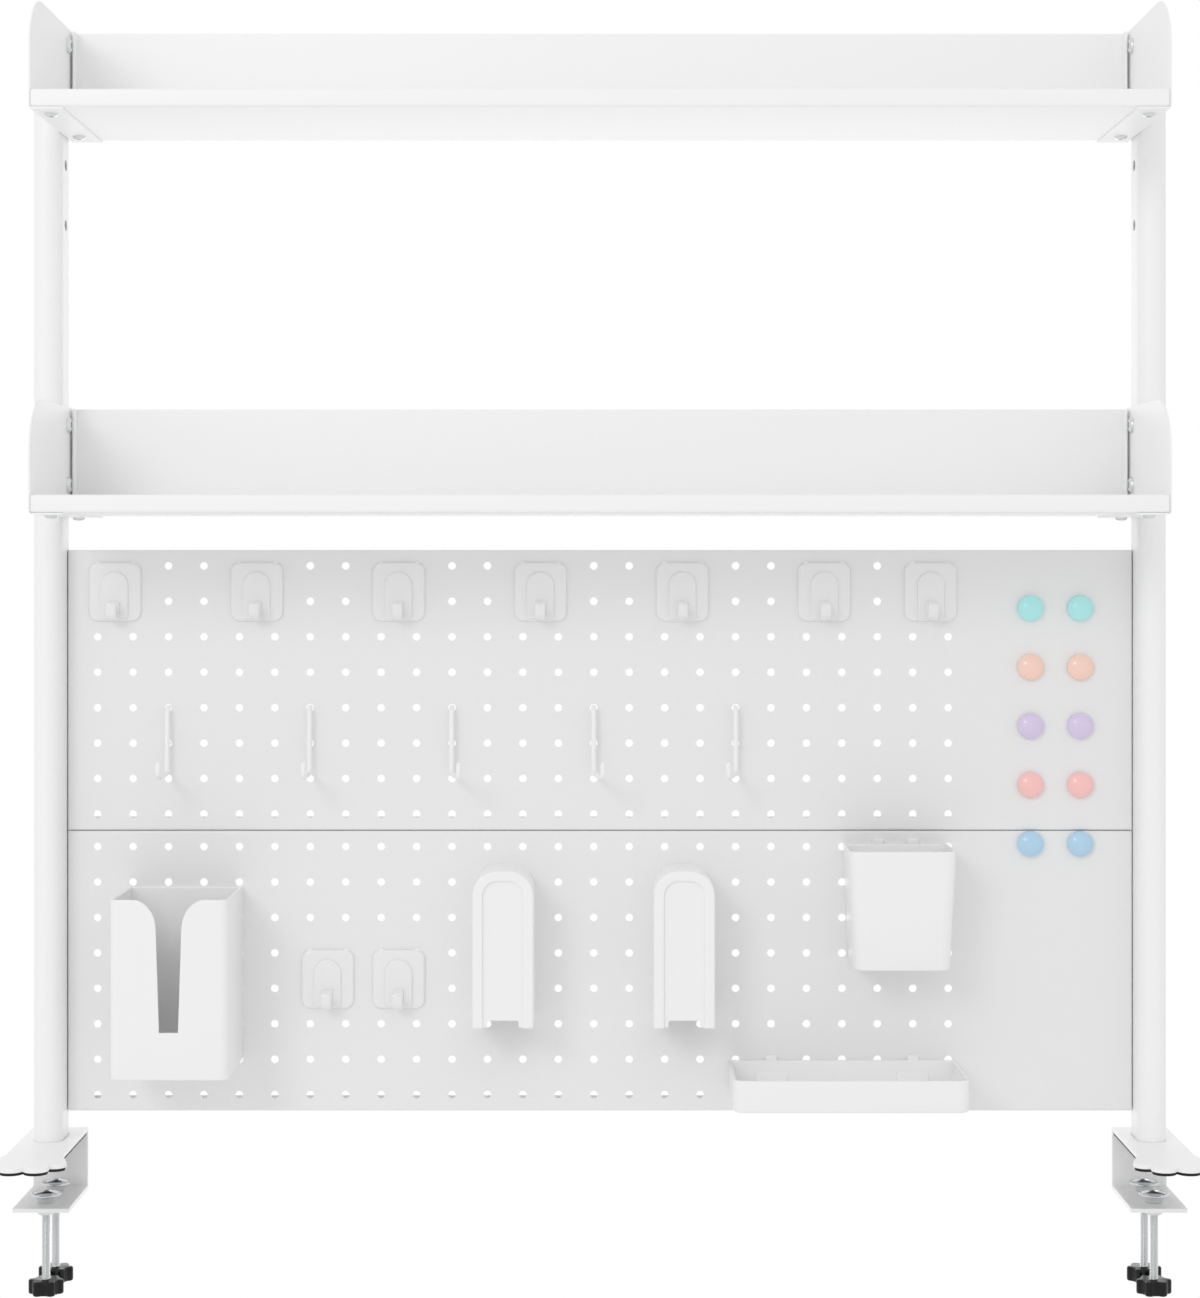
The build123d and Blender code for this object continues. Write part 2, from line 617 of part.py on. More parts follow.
def make_plate_hooks(level, columns, row):
    """Moulded plates, each with a raised strap, an upturned hook and two pegs."""
    centres = [
        (column_x(column) + PEG_PITCH / 2, row_z(level, row) - PEG_PITCH / 2)
        for column in columns
    ]
    curl_y = BOARD_FACE_Y - HOOK_PLATE_THICKNESS - HOOK_OUTER
    with BuildPart() as hooks:
        with BuildSketch(board_plane()) as plates:
            with Locations(*[(x, z - HOOK_PLATE_DROP) for x, z in centres]):
                Rectangle(HOOK_PLATE_WIDTH, HOOK_PLATE_HEIGHT)
            chamfer(plates.vertices(), HOOK_PLATE_CORNER)
        extrude(amount=HOOK_PLATE_THICKNESS)
        with BuildSketch(board_plane(HOOK_PLATE_THICKNESS)) as straps:
            with Locations(*[(x, z - HOOK_PLATE_DROP) for x, z in centres]):
                Rectangle(HOOK_STRAP_WIDTH, HOOK_STRAP_HEIGHT)
            chamfer(straps.vertices().group_by(Axis.Y)[-1], HOOK_PLATE_CORNER)
        extrude(amount=HOOK_STRAP_THICKNESS)
        for x, z in centres:
            curl_z = z - HOOK_PLATE_DROP - HOOK_CURL_DROP
            tip_y = curl_y - (HOOK_OUTER + HOOK_INNER) / 2
            with BuildSketch(Plane.YZ.offset(x)):
                with Locations((curl_y, curl_z)):
                    turn = 180 / HOOK_SIDES
                    RegularPolygon(HOOK_OUTER, HOOK_SIDES, major_radius=False, rotation=turn)
                    RegularPolygon(
                        HOOK_INNER,
                        HOOK_SIDES,
                        major_radius=False,
                        rotation=turn,
                        mode=Mode.SUBTRACT,
                    )
                    with Locations((0, HOOK_OUTER)):
                        Rectangle(2 * HOOK_OUTER, 2 * HOOK_OUTER, mode=Mode.SUBTRACT)
                with Locations((tip_y, curl_z + HOOK_TIP_RISE / 2)):
                    Rectangle(HOOK_OUTER - HOOK_INNER, HOOK_TIP_RISE)
            extrude(amount=HOOK_WIDTH / 2, both=True)
        pegged = [column + step for column in columns for step in (0, 1)]
        with BuildSketch(board_plane()):
            with Locations(*hole_places(level, pegged, (row,))):
                RegularPolygon(PEG_RADIUS, PEG_SIDES)
        extrude(amount=-PEG_LENGTH)
    write_piece(hooks.part, f"{level}_plate_hooks")


def make_wire_hook(number, column, turn):
    """Bent rod: a peg in one hole, a stem with a second peg, and a J to the front."""
    x = column_x(column)
    top_z = row_z("upper", WIRE_TOP_ROW)
    stem_y = BOARD_FACE_Y - WIRE_STANDOFF
    foot_z = top_z - WIRE_STEM
    reach = WIRE_REACH - WIRE_STANDOFF
    across = math.sin(math.radians(turn))
    out = -math.cos(math.radians(turn))

    def on_arm(distance, z):
        """Point of the J, at a distance from the stem along the turned arm."""
        return (x + across * distance, stem_y + out * distance, z)

    with BuildPart() as hook:
        with BuildLine() as path:
            Polyline(
                (x, BOARD_FACE_Y + PEG_LENGTH, top_z),
                (x, stem_y + WIRE_BEND, top_z),
                (x, stem_y, top_z - WIRE_BEND),
                on_arm(0, foot_z + WIRE_BEND),
                on_arm(WIRE_BEND, foot_z),
                on_arm(reach - WIRE_BEND, foot_z),
                on_arm(reach, foot_z + WIRE_BEND),
                on_arm(reach + WIRE_TIP_LEAN, foot_z + WIRE_TIP_RISE),
            )
        with BuildSketch(Plane(origin=path.line @ 0, z_dir=path.line % 0)):
            RegularPolygon(WIRE_RADIUS, WIRE_SIDES)
        sweep(path=path.line, transition=Transition.RIGHT)
        with BuildSketch(board_plane(WIRE_STANDOFF)):
            with Locations((x, top_z - PEG_PITCH)):
                RegularPolygon(WIRE_RADIUS, WIRE_SIDES)
        extrude(amount=-(WIRE_STANDOFF + PEG_LENGTH))
    write_piece(hook.part, f"wire_hook_{number}")


def make_tissue_box():
    """Open topped box with a tapered slot in its front that curves out to a wide mouth."""
    columns = (TISSUE_COLUMN, TISSUE_COLUMN + 1)
    centre_x = column_x(TISSUE_COLUMN) + PEG_PITCH / 2
    centre_y = BOARD_FACE_Y - TISSUE_DEPTH / 2
    slot_low, slot_high = TISSUE_SLOT_LOW_WIDTH / 2, TISSUE_SLOT_HIGH_WIDTH / 2
    mouth_half, mouth_z = TISSUE_MOUTH_WIDTH / 2, TISSUE_TOP - TISSUE_MOUTH_DEPTH
    curve_x = mouth_half - (mouth_half - slot_high) * math.cos(math.radians(45))
    curve_z = mouth_z + TISSUE_MOUTH_DEPTH * math.sin(math.radians(45))
    with BuildPart() as box:
        with BuildSketch(Plane.XY.offset(TISSUE_BOTTOM)) as floor:
            with Locations((centre_x, centre_y)):
                Rectangle(TISSUE_WIDTH, TISSUE_DEPTH)
            fillet(floor.vertices().group_by(Axis.Y)[0], TISSUE_CORNER)
        extrude(amount=TISSUE_TOP - TISSUE_BOTTOM)
        with BuildSketch(Plane.XY.offset(TISSUE_BOTTOM + TISSUE_WALL)) as inside:
            with Locations((centre_x, centre_y)):
                Rectangle(TISSUE_WIDTH - 2 * TISSUE_WALL, TISSUE_DEPTH - 2 * TISSUE_WALL)
            fillet(inside.vertices().group_by(Axis.Y)[0], TISSUE_CORNER - TISSUE_WALL)
        extrude(amount=TISSUE_TOP - TISSUE_BOTTOM, mode=Mode.SUBTRACT)
        with BuildSketch(board_plane(TISSUE_DEPTH)):
            with BuildLine():
                Line((centre_x - slot_low, TISSUE_SLOT_BOTTOM), (centre_x + slot_low, TISSUE_SLOT_BOTTOM))
                Line((centre_x - mouth_half, TISSUE_TOP), (centre_x + mouth_half, TISSUE_TOP))
                for side in (-1, 1):
                    low = (centre_x + side * slot_low, TISSUE_SLOT_BOTTOM)
                    bend = (centre_x + side * slot_high, mouth_z)
                    rim = (centre_x + side * mouth_half, TISSUE_TOP)
                    Line(low, bend)
                    ThreePointArc(bend, (centre_x + side * curve_x, curve_z), rim)
            make_face()
        extrude(amount=-2 * TISSUE_WALL, mode=Mode.SUBTRACT)
        with BuildSketch(board_plane()):
            with Locations(*hole_places("lower", columns, TISSUE_PEG_ROWS)):
                RegularPolygon(PEG_RADIUS, PEG_SIDES)
        extrude(amount=-PEG_LENGTH)
    write_piece(box.part, "tissue_box")


def cup_outline(centre_x, width, depth, inset):
    """Level section of the cup, flat at the back and round at its front corners."""
    with BuildSketch() as outline:
        with Locations((centre_x, BOARD_FACE_Y - depth / 2)):
            Rectangle(width - 2 * inset, depth - 2 * inset)
        fillet(outline.vertices().group_by(Axis.Y)[0], CUP_CORNER - inset)
    return outline.sketch


def make_pen_cup():
    """Cup that narrows towards its floor, flat at the back."""
    columns = (CUP_COLUMN, CUP_COLUMN + 1)
    centre_x = column_x(CUP_COLUMN) + PEG_PITCH / 2
    with BuildPart() as cup:
        with BuildSketch(Plane.XY.offset(CUP_BOTTOM)):
            add(cup_outline(centre_x, CUP_BOTTOM_WIDTH, CUP_BOTTOM_DEPTH, 0.0))
        with BuildSketch(Plane.XY.offset(CUP_TOP)):
            add(cup_outline(centre_x, CUP_TOP_WIDTH, CUP_TOP_DEPTH, 0.0))
        loft(ruled=True)
        with BuildSketch(Plane.XY.offset(CUP_BOTTOM + CUP_WALL)):
            add(cup_outline(centre_x, CUP_BOTTOM_WIDTH, CUP_BOTTOM_DEPTH, CUP_WALL))
        with BuildSketch(Plane.XY.offset(CUP_TOP)):
            add(cup_outline(centre_x, CUP_TOP_WIDTH, CUP_TOP_DEPTH, CUP_WALL))
        loft(ruled=True, mode=Mode.SUBTRACT)
        with BuildSketch(board_plane()):
            with Locations(*[(column_x(column), CUP_TOP) for column in columns]):
                Rectangle(RIM_TAB_WIDTH, 2 * RIM_TAB_RISE)
        extrude(amount=CUP_WALL)
        with BuildSketch(board_plane()):
            with Locations(*hole_places("lower", columns, CUP_PEG_ROWS)):
                RegularPolygon(PEG_RADIUS, PEG_SIDES)
        extrude(amount=-PEG_LENGTH)
    write_piece(cup.part, "pen_cup")


def make_small_tray():
    """Shallow open tray with a wedge boss and a small tab on its back wall at each peg."""
    centre_x = (column_x(TRAY_COLUMNS[0]) + column_x(TRAY_COLUMNS[1])) / 2
    centre_y = BOARD_FACE_Y - TRAY_DEPTH / 2
    boss_top = TRAY_BOTTOM + TRAY_WALL + TRAY_BOSS_HEIGHT
    with BuildPart() as tray:
        with BuildSketch(Plane.XY.offset(TRAY_BOTTOM)) as floor:
            with Locations((centre_x, centre_y)):
                Rectangle(TRAY_WIDTH, TRAY_DEPTH)
            fillet(floor.vertices().group_by(Axis.Y)[0], TRAY_CORNER)
        extrude(amount=TRAY_TOP - TRAY_BOTTOM)
        with BuildSketch(Plane.XY.offset(TRAY_BOTTOM + TRAY_WALL)) as inside:
            with Locations((centre_x, centre_y)):
                Rectangle(TRAY_WIDTH - 2 * TRAY_WALL, TRAY_DEPTH - 2 * TRAY_WALL)
            fillet(inside.vertices().group_by(Axis.Y)[0], TRAY_CORNER - TRAY_WALL)
        extrude(amount=TRAY_TOP - TRAY_BOTTOM, mode=Mode.SUBTRACT)
        for column in TRAY_COLUMNS:
            with BuildSketch(Plane.YZ.offset(column_x(column) - TRAY_BOSS_WIDTH / 2)):
                with BuildLine():
                    Polyline(
                        (BOARD_FACE_Y, TRAY_BOTTOM),
                        (BOARD_FACE_Y - TRAY_BOSS_DEPTH, TRAY_BOTTOM),
                        (BOARD_FACE_Y - TRAY_WALL, boss_top),
                        (BOARD_FACE_Y, boss_top),
                        close=True,
                    )
                make_face()
            extrude(amount=TRAY_BOSS_WIDTH)
        with BuildSketch(board_plane()):
            with Locations(*[(column_x(column), TRAY_TOP) for column in TRAY_COLUMNS]):
                Rectangle(RIM_TAB_WIDTH, 2 * RIM_TAB_RISE)
        extrude(amount=TRAY_WALL)
        with BuildSketch(board_plane()):
            with Locations(*hole_places("lower", TRAY_COLUMNS, (TRAY_PEG_ROW,))):
                RegularPolygon(PEG_RADIUS, PEG_SIDES)
        extrude(amount=-PEG_LENGTH)
    write_piece(tray.part, "small_tray")


def make_arch_holder(side, column):
    """Arched holder, open below, with a sunk front and a notch between its legs."""
    centre_x = column_x(column) + PEG_PITCH / 2
    height = ARCH_TOP - ARCH_BOTTOM
    middle = (centre_x, ARCH_BOTTOM + height / 2)
    front_wall = ARCH_WALL + ARCH_SINK
    with BuildPart() as holder:
        with BuildSketch(board_plane()) as outline:
            with Locations(middle):
                Rectangle(ARCH_WIDTH, height)
            fillet(outline.vertices().group_by(Axis.Y)[-1], ARCH_SHOULDER)
        extrude(amount=ARCH_DEPTH)
        with BuildSketch(board_plane(ARCH_WALL)) as cavity:
            with Locations((middle[0], middle[1] - ARCH_WALL)):
                Rectangle(ARCH_WIDTH - 2 * ARCH_WALL, height)
            fillet(cavity.vertices().group_by(Axis.Y)[-1], ARCH_SHOULDER - ARCH_WALL)
        extrude(amount=ARCH_DEPTH - ARCH_WALL - front_wall, mode=Mode.SUBTRACT)
        with BuildSketch(board_plane(ARCH_DEPTH)) as sunk:
            with Locations((middle[0], middle[1] - ARCH_RIM)):
                Rectangle(ARCH_WIDTH - 2 * ARCH_RIM, height)
            fillet(sunk.vertices().group_by(Axis.Y)[-1], ARCH_SHOULDER - ARCH_RIM)
        extrude(amount=-ARCH_SINK, mode=Mode.SUBTRACT)
        with BuildSketch(board_plane(ARCH_DEPTH)):
            with Locations((centre_x, ARCH_BOTTOM)):
                Rectangle(ARCH_NOTCH_WIDTH, 2 * ARCH_NOTCH_HEIGHT)
        extrude(amount=-front_wall, mode=Mode.SUBTRACT)
        with BuildSketch(board_plane()):
            with Locations(*hole_places("lower", (column, column + 1), ARCH_PEG_ROWS)):
                RegularPolygon(PEG_RADIUS, PEG_SIDES)
        extrude(amount=-PEG_LENGTH)
    write_piece(holder.part, f"{side}_arch_holder")


def make_magnet(colour, side, x, z):
    """Round magnet with a straight band and a sloped face."""
    with BuildPart() as magnet:
        with BuildSketch(board_plane()):
            with Locations((x, z)):
                RegularPolygon(MAGNET_RADIUS, MAGNET_SIDES)
        extrude(amount=MAGNET_HEIGHT)
        rim = magnet.faces().sort_by(Axis.Y)[0].edges()
        front = magnet.faces().sort_by(Axis.Y)[0]
        chamfer(rim, MAGNET_HEIGHT - MAGNET_BAND, MAGNET_FACE_INSET, reference=front)
    write_piece(magnet.part, f"{side}_{colour}_magnet")


# Frame, clamps and their rods
for side_name in SIDES:
    make_post(side_name)
    make_clamp_bracket(side_name)
    make_clamp_pad(side_name)
    make_clamp_nuts(side_name)
    for place_name in ROD_PLACES:
        make_clamp_rod(side_name, place_name)
        make_clamp_knob(side_name, place_name)
        make_clamp_foot(side_name, place_name)

# Shelves, pegboards and the fasteners that hold them
for level_name in SHELF_TOPS:
    make_shelf(level_name)
    make_pegboard(level_name)
    for side_name in SIDES:
        make_end_panel(level_name, side_name)
make_post_caps()
make_shelf_bolts()
make_board_screws()
make_shelf_screws()

# What hangs on the pegboards
make_plate_hooks("upper", UPPER_HOOK_COLUMNS, 0)
make_plate_hooks("lower", LOWER_HOOK_COLUMNS, LOWER_HOOK_ROW)
for index, wire_column in enumerate(WIRE_COLUMNS):
    make_wire_hook(index + 1, wire_column, WIRE_TURNS[index])
make_tissue_box()
make_pen_cup()
make_small_tray()
for side_name, arch_column in zip(SIDES, ARCH_COLUMNS):
    make_arch_holder(side_name, arch_column)
for index, colour_name in enumerate(MAGNET_COLOURS):
    magnet_z = MAGNET_TOP_Z - index * MAGNET_PITCH
    make_magnet(colour_name, "left", MAGNET_LEFT_X, magnet_z)
    make_magnet(colour_name, "right", MAGNET_RIGHT_X, magnet_z)
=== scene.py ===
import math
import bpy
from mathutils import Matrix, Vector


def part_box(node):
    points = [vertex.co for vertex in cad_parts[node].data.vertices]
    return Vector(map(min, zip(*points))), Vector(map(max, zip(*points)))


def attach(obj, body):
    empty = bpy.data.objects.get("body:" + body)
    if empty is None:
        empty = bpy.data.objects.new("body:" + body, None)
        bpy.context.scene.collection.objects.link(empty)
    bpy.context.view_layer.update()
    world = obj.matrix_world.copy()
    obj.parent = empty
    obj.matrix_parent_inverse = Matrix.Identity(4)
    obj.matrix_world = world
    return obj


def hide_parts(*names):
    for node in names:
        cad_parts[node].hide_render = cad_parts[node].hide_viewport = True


bl_info = {
    "name": "Clamp-on desk shelf",
    "version": (1, 0, 0),
    "blender": (4, 5, 0),
    "location": "3D View > Sidebar > Desk shelf",
    "description": "Builds the visible pieces and finishes of a clamp-on desk shelf",
    "category": "Object",
}

from types import SimpleNamespace

import bmesh
import bpy
import numpy as np
from bpy.props import FloatProperty, FloatVectorProperty, PointerProperty
from bpy.types import Operator, Panel, PropertyGroup
from mathutils import Vector

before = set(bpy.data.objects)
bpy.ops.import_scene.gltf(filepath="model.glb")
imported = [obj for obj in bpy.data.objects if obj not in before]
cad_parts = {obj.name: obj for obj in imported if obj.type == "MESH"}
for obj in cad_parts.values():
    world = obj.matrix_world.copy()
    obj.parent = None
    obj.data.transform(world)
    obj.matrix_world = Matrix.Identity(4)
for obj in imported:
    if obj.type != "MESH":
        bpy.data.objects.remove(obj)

# Shapes are worked out in millimetres and put into the meshes in metres. Points nearer to each
# other than a seam are joined. Lengths that are divided by are at least tiny.
MM = 0.001
SEAM = 0.005
TINY = 1e-9
SIDES = {"left": -1.0, "right": 1.0}
LEVELS = ("lower", "upper")
ROD_PLACES = ("rear", "front")
MAGNET_COLOURS = ("mint", "peach", "lilac", "coral", "blue")

# Grid of peg holes, the places on it that carry hooks and holders, counted from the left and
# from each board's top, and the wire hooks' turns in degrees
COLUMNS = 25
ROWS = 8
PLATE_HOOKS = {"upper": ((0, 4, 8, 12, 16, 20, 23), 0), "lower": ((6, 8), 3)}
WIRE_COLUMNS = (2, 6, 10, 14, 18)
WIRE_ROW = 4
WIRE_TURNS = (0.0, 0.0, 10.0, 9.0, -10.0)
BOX_PEGS = ((2, 3), (2, 5))
CUP_PEGS = ((22, 23), (1, 2))
TRAY_PEGS = ((19, 23), (6,))
ARCH_COLUMNS = (11, 16)
ARCH_ROWS = (1, 3)

# Clamp plate: pairs of lobes with their way from the middle, from the front tip, and radius;
# where it starts to narrow, from its tip; the slot's gap round the post; and half the length of
# the slot's straight sides
PLATE_LOBES = ((8.2, 9.0, 9.0), (18.5, 21.0, 8.0))
PLATE_TAPER = 45.0
SLOT_GAP = 0.3
SLOT_HALF = 10.0

# Head radius and height, shank radius and length of the fasteners, and the profile of their
# domes and hexagonal sockets, in shares of the head's radius and height
BOLT = (5.5, 2.8, 2.8, 8.0)
SCREW = (4.5, 2.2, 2.0, 6.0)
HEAD_DOME = ((1.0, 0.0), (1.0, 0.25), (0.93, 0.6), (0.76, 0.88), (0.55, 1.0))
HEAD_SOCKET = ((0.46, 1.0), (0.44, 0.35), (0.0, 0.3))

# Clamp feet: points of the dish's rim, from its edge inwards and from its top down, the flare's
# radius and its middle's way out from the edge, and the socket's radius and floor below the top
FOOT_RIM = ((2.1, 1.6), (1.6, 1.1), (1.3, 0.1), (0.9, 0.0), (0.3, 0.0), (0.0, 0.3), (0.0, 1.1))
FOOT_FLARE = 5.2
FLARE_OUT = 0.5
FOOT_SOCKET = 3.1
SOCKET_FLOOR = 2.2

# How steep the flanks of a thread are, and its crest's share of the zigzag it is cut from
THREAD_SLOPE = 1.3
THREAD_CREST = 0.1

# Roundings of edges and corners, the corners from the lower left one on. Tabs are a little
# thinner than their wall, and the hooks' curl has half a thickness and a rise at its back. The
# mouth's ellipse and a rod's round tip end at a share of their way, where they would come to a
# stop. Some corners keep a least radius, and a sharp one moves inwards by a limited length.
CAP_ROUND = 0.9
TURN_UP_ROUND = 0.05
BACKSTOP_ROUND = 0.35
BACKSTOP_CORNERS = (0, 0, 1.5, 1.5)
HEM_ROUND = 0.3
CLAMP_BEVEL = 0.35
KNOB_ROUND = 1.3
PEG_ROUND = 0.4
HOOK_ROUND = 2.0
HOOK_CHAMFER = 0.5
STRAP_ROUND = 0.6
STRAP_CORNERS = (1.5, 1.5, 9.3, 9.3)
CURL_HALF = 1.6
CURL_CORNER = 0.9
CURL_RISE = 5.0
REAR_CORNER = 1.0
BOSS_ROUND = 0.6
BOSS_CORNERS = (0, 0, 0.4, 0)
TAB_ROUND = 0.4
TAB_CORNERS = (0.5, 0.5, 1.5, 1.5)
TAB_INSET = 0.15
ARCH_EDGE = 1.2
ARCH_RIM_ROUND = 0.6
NOTCH_ROUND = 1.5
MOUTH_SHARE = 0.96
TIP_SHARE = 0.92
LEAST_ROUND = 0.001
MITRE_LIMIT = 0.3
MAGNET_FOOT = 0.4
MAGNET_SHOULDER = 0.5

# How far pieces of one skin reach into each other, the wire hooks' lean at their tip, and the
# straight run before the plate hooks' tip
OVERLAP = 0.2
ARCH_OVERLAP = 0.1
STRAP_ROOT = 0.3
WIRE_LEAN = 1.025
CURL_RUN = 2.0

# Fineness of the meshes: points round holes, threads, heads, knobs and magnets, along domes
# and the end panels' curves, rings in a thread's pitch, and steps in half a post's circle; rays
# over the clamp plate's lobed front, which spans a turn on both sides of the tip, and along its
# sides; and how far the cells round holes stay off a fold
RAYS_PER_HOLE = 16
THREAD_POINTS = 24
THREAD_RINGS = 6
HEAD_POINTS = 24
KNOB_POINTS = 96
MAGNET_POINTS = 48
DOME_POINTS = 13
CURVE_POINTS = 25
OVAL_STEPS = 14
FRONT_TURN = 0.45
FRONT_RAYS = 181
SIDE_RAYS = 30
BOARD_CELL_GAP = 0.4
POST_CELL_GAP = 2.0

# Camera, lamps and floor, in metres, but the lens in millimetres and its shift in widths of the
# frame: lamps have a place, a diameter and a power, and the floor half a width, its near and far
# edge and its height
EYE_PLACE = (0.0, -1.992, 0.411)
EYE_LENS = 77.21
EYE_SHIFT = -0.0686
EYE_REACH = 50.0
LAMPS = (("key", (-1.3, -2.6, 1.6), 1.0, 11.0), ("rear", (0.0, 2.4, 0.3), 2.0, 7.0))
LAMPS_AIM = (0.0, 0.0, 0.4)
SKY_LIGHT = 0.84
FLOOR = (1.6, -1.6, 1.1, -0.74)


def linear(hex_colour):
    """Linear RGBA of an sRGB hex value."""
    channels = np.array([int(hex_colour[i : i + 2], 16) for i in (1, 3, 5)]) / 255
    curve = ((channels + 0.055) / 1.055) ** 2.4
    return (*np.where(channels <= 0.04045, channels / 12.92, curve).tolist(), 1.0)


def node_box(node):
    """Lowest and highest corner of a CAD node, in millimetres."""
    low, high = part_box(node)
    return np.array(low) / MM, np.array(high) / MM


# Front face of both pegboards, on which the hooks and holders hang
BOARD_FACE = node_box("upper_pegboard")[0][1]


# Sizes and colours that a user would change


def length(name, description, default_mm):
    """Length property, stated in millimetres and kept in metres."""
    return FloatProperty(
        name=name, description=description, default=default_mm * MM, unit="LENGTH", min=0.0
    )


def colour(name, description, hex_colour):
    """Colour property from an sRGB hex value."""
    return FloatVectorProperty(
        name=name,
        description=description,
        default=linear(hex_colour),
        size=4,
        subtype="COLOR",
        min=0.0,
        max=1.0,
    )


class ShelfSizes(PropertyGroup):
    """Sizes of the folded sheet, the holes and the moulded pieces."""

    sheet: length("Sheet", "Thickness of the folded steel sheet", 1.2)
    bend: length("Bend", "Outer radius of the shelves' folds", 2.0)
    board_depth: length("Board depth", "Depth of the pegboards' flanges", 15.0)
    board_bend: length("Board bend", "Outer radius of the pegboards' folds", 1.4)
    board_lip: length("Board lip", "Width of the lips behind the pegboards", 8.2)
    board_gap: length("Board gap", "From the pegboards' flanges to the posts", 0.6)
    peg_pitch: length("Peg pitch", "Distance between peg holes", 25.0)
    peg_hole: length("Peg hole", "Diameter of the peg holes", 5.5)
    peg_left: length("First column", "From the board's left edge to the first holes", 21.6)
    peg_top: length("First row", "From the board's top edge to the first holes", 11.2)
    peg: length("Peg", "Diameter of the pegs behind the holders", 4.0)
    peg_length: length("Peg length", "How far the pegs reach into the holes", 5.5)
    shelf: length("Shelf thickness", "Height of the shelf's front edge", 12.0)
    backstop_gap: length("Backstop gap", "From the backstop's end to the shelf's end", 0.3)
    hem: length("Backstop hem", "Depth of the edges folded forwards at its ends", 12.0)
    hem_gap: length("Hem gap", "From those edges to the shelf's end", 2.0)
    end_front: length("End panel front", "Height of the end panel's straight front edge", 27.0)
    end_curve: length("End panel curve", "Depth of the end panel's front curve", 43.0)
    spare_hole: length("Spare hole", "Diameter of the posts' spare holes", 8.0)
    bolt_pitch: length("Bolt pitch", "Distance between the bolts of an end panel", 42.2)
    bolt_rise: length("Bolt rise", "From the shelf's top to the lower bolt", 9.9)
    clamp_steel: length("Clamp steel", "Thickness of the clamp strip", 3.0)
    clamp_bend: length("Clamp bend", "Outer radius of the clamp strip's bends", 2.8)
    clamp_width: length("Clamp width", "Width of the clamp strip", 39.0)
    jaw_inset: length("Jaw inset", "How much shorter the jaw is than the plate", 66.0)
    rod_hole: length("Rod hole", "Diameter of the holes for the clamp rods", 6.8)
    rod_cell: length("Rod hole cell", "Half side of the squares meshed round them", 9.0)
    pitch: length("Thread pitch", "Rise of the clamp rods' thread in one turn", 1.0)
    thread: length("Thread depth", "Depth of the thread", 0.55)
    knob_core: length("Knob core", "Radius of the knobs between their lobes", 9.8)
    knob_lobe: length("Knob lobe", "Radius of the knobs' lobes", 3.4)
    flange_screw: length("Flange screw", "From the post to the screws under the shelf", 11.0)
    flange_front: length("Front screw", "From the shelf's front to the first screw", 21.3)
    flange_back: length("Back screw", "From the shelf's back to the second screw", 28.7)
    board_screw: length("Board screw", "From the board's face to its screws", 8.5)
    screw_edge: length("Screw edge", "From the board's ends to its screws", 30.0)
    hook_width: length("Hook plate width", "Width of the hook plates", 37.0)
    hook_plate: length("Hook plate thickness", "Thickness of the hook plates", 2.5)
    hook_corner: length("Hook plate corner", "Corner radius of the hook plates", 6.5)
    strap: length("Strap", "Thickness of the raised straps on the hook plates", 1.5)
    strap_width: length("Strap width", "Width of the raised straps", 19.0)
    strap_foot: length("Strap foot", "From the hook plates' middle to the straps' foot", 19.0)
    strap_top: length("Strap top", "From the hook plates' middle to the straps' top", 14.0)
    curl: length("Hook curl", "Radius of the plate hooks' curl", 6.4)
    curl_drop: length("Curl drop", "From the hook plates' middle to the curl's", 12.0)
    curl_width: length("Hook width", "Width of the plate hooks", 7.0)
    curl_tip: length("Hook tip", "Height of the plate hooks' tips over the curl's middle", 4.5)
    wire: length("Wire", "Diameter of the wire hooks", 3.5)
    wire_standoff: length("Wire standoff", "From the board to the wire hooks' stems", 6.0)
    wire_stem: length("Wire stem", "Height of the wire hooks' stems", 46.0)
    wire_arm: length("Wire arm", "Length of the wire hooks' arms", 40.0)
    wire_rise: length("Wire tip", "Height of the wire hooks' tips", 11.0)
    wire_bend: length("Wire bend", "Radius of the wire hooks' bends", 5.0)
    magnet_band: length("Magnet band", "Height of the magnets' straight band", 3.5)
    wall: length("Moulded wall", "Wall of the box, cup and tray", 2.0)
    foot_round: length("Foot rounding", "Radius round the foot of the box, cup and tray", 1.5)
    box_corner: length("Box corner", "Front corner radius of the tissue box", 6.0)
    slot_foot: length("Slot foot", "From the tissue box's floor to its slot", 32.3)
    slot_low: length("Slot foot width", "Width of the slot at its foot", 13.0)
    slot_high: length("Slot neck width", "Width of the slot below the mouth", 17.5)
    mouth: length("Mouth width", "Width of the ellipse that the box's mouth follows", 52.0)
    mouth_depth: length("Mouth depth", "Depth of the tissue box's mouth", 20.0)
    cup_height: length("Cup height", "Height of the pen cup without its tabs", 82.5)
    cup_taper: length("Cup taper", "How much narrower the pen cup's floor is", 8.0)
    cup_lean: length("Cup lean", "How much shallower the pen cup's floor is", 5.0)
    corner: length("Tray corner", "Front corner radius of the cup and tray", 8.0)
    tray_height: length("Tray height", "Height of the tray without its tabs", 21.9)
    boss: length("Boss width", "Width of the bosses on the tray's back", 22.0)
    boss_depth: length("Boss depth", "Depth of the bosses on the tray's back", 6.0)
    boss_height: length("Boss height", "From the tray's floor to the top of its bosses", 12.0)
    tab: length("Tab width", "Width of the tabs on the cup's and tray's rim", 8.0)
    tab_rise: length("Tab rise", "How far the tabs stand above the rim", 3.5)
    tab_sunk: length("Tab root", "How far the tabs reach down into the wall", 3.0)
    arch_wall: length("Arch wall", "Wall of the arched holders", 2.5)
    arch_rim: length("Arch rim", "Width of the rim round the arched holders' front", 7.0)
    arch_sink: length("Arch sink", "How deep the arched holders' front is sunk", 2.0)
    notch: length("Notch width", "Width of the notch in the sunk front", 22.0)
    notch_height: length("Notch height", "Height of the notch in the sunk front", 5.0)
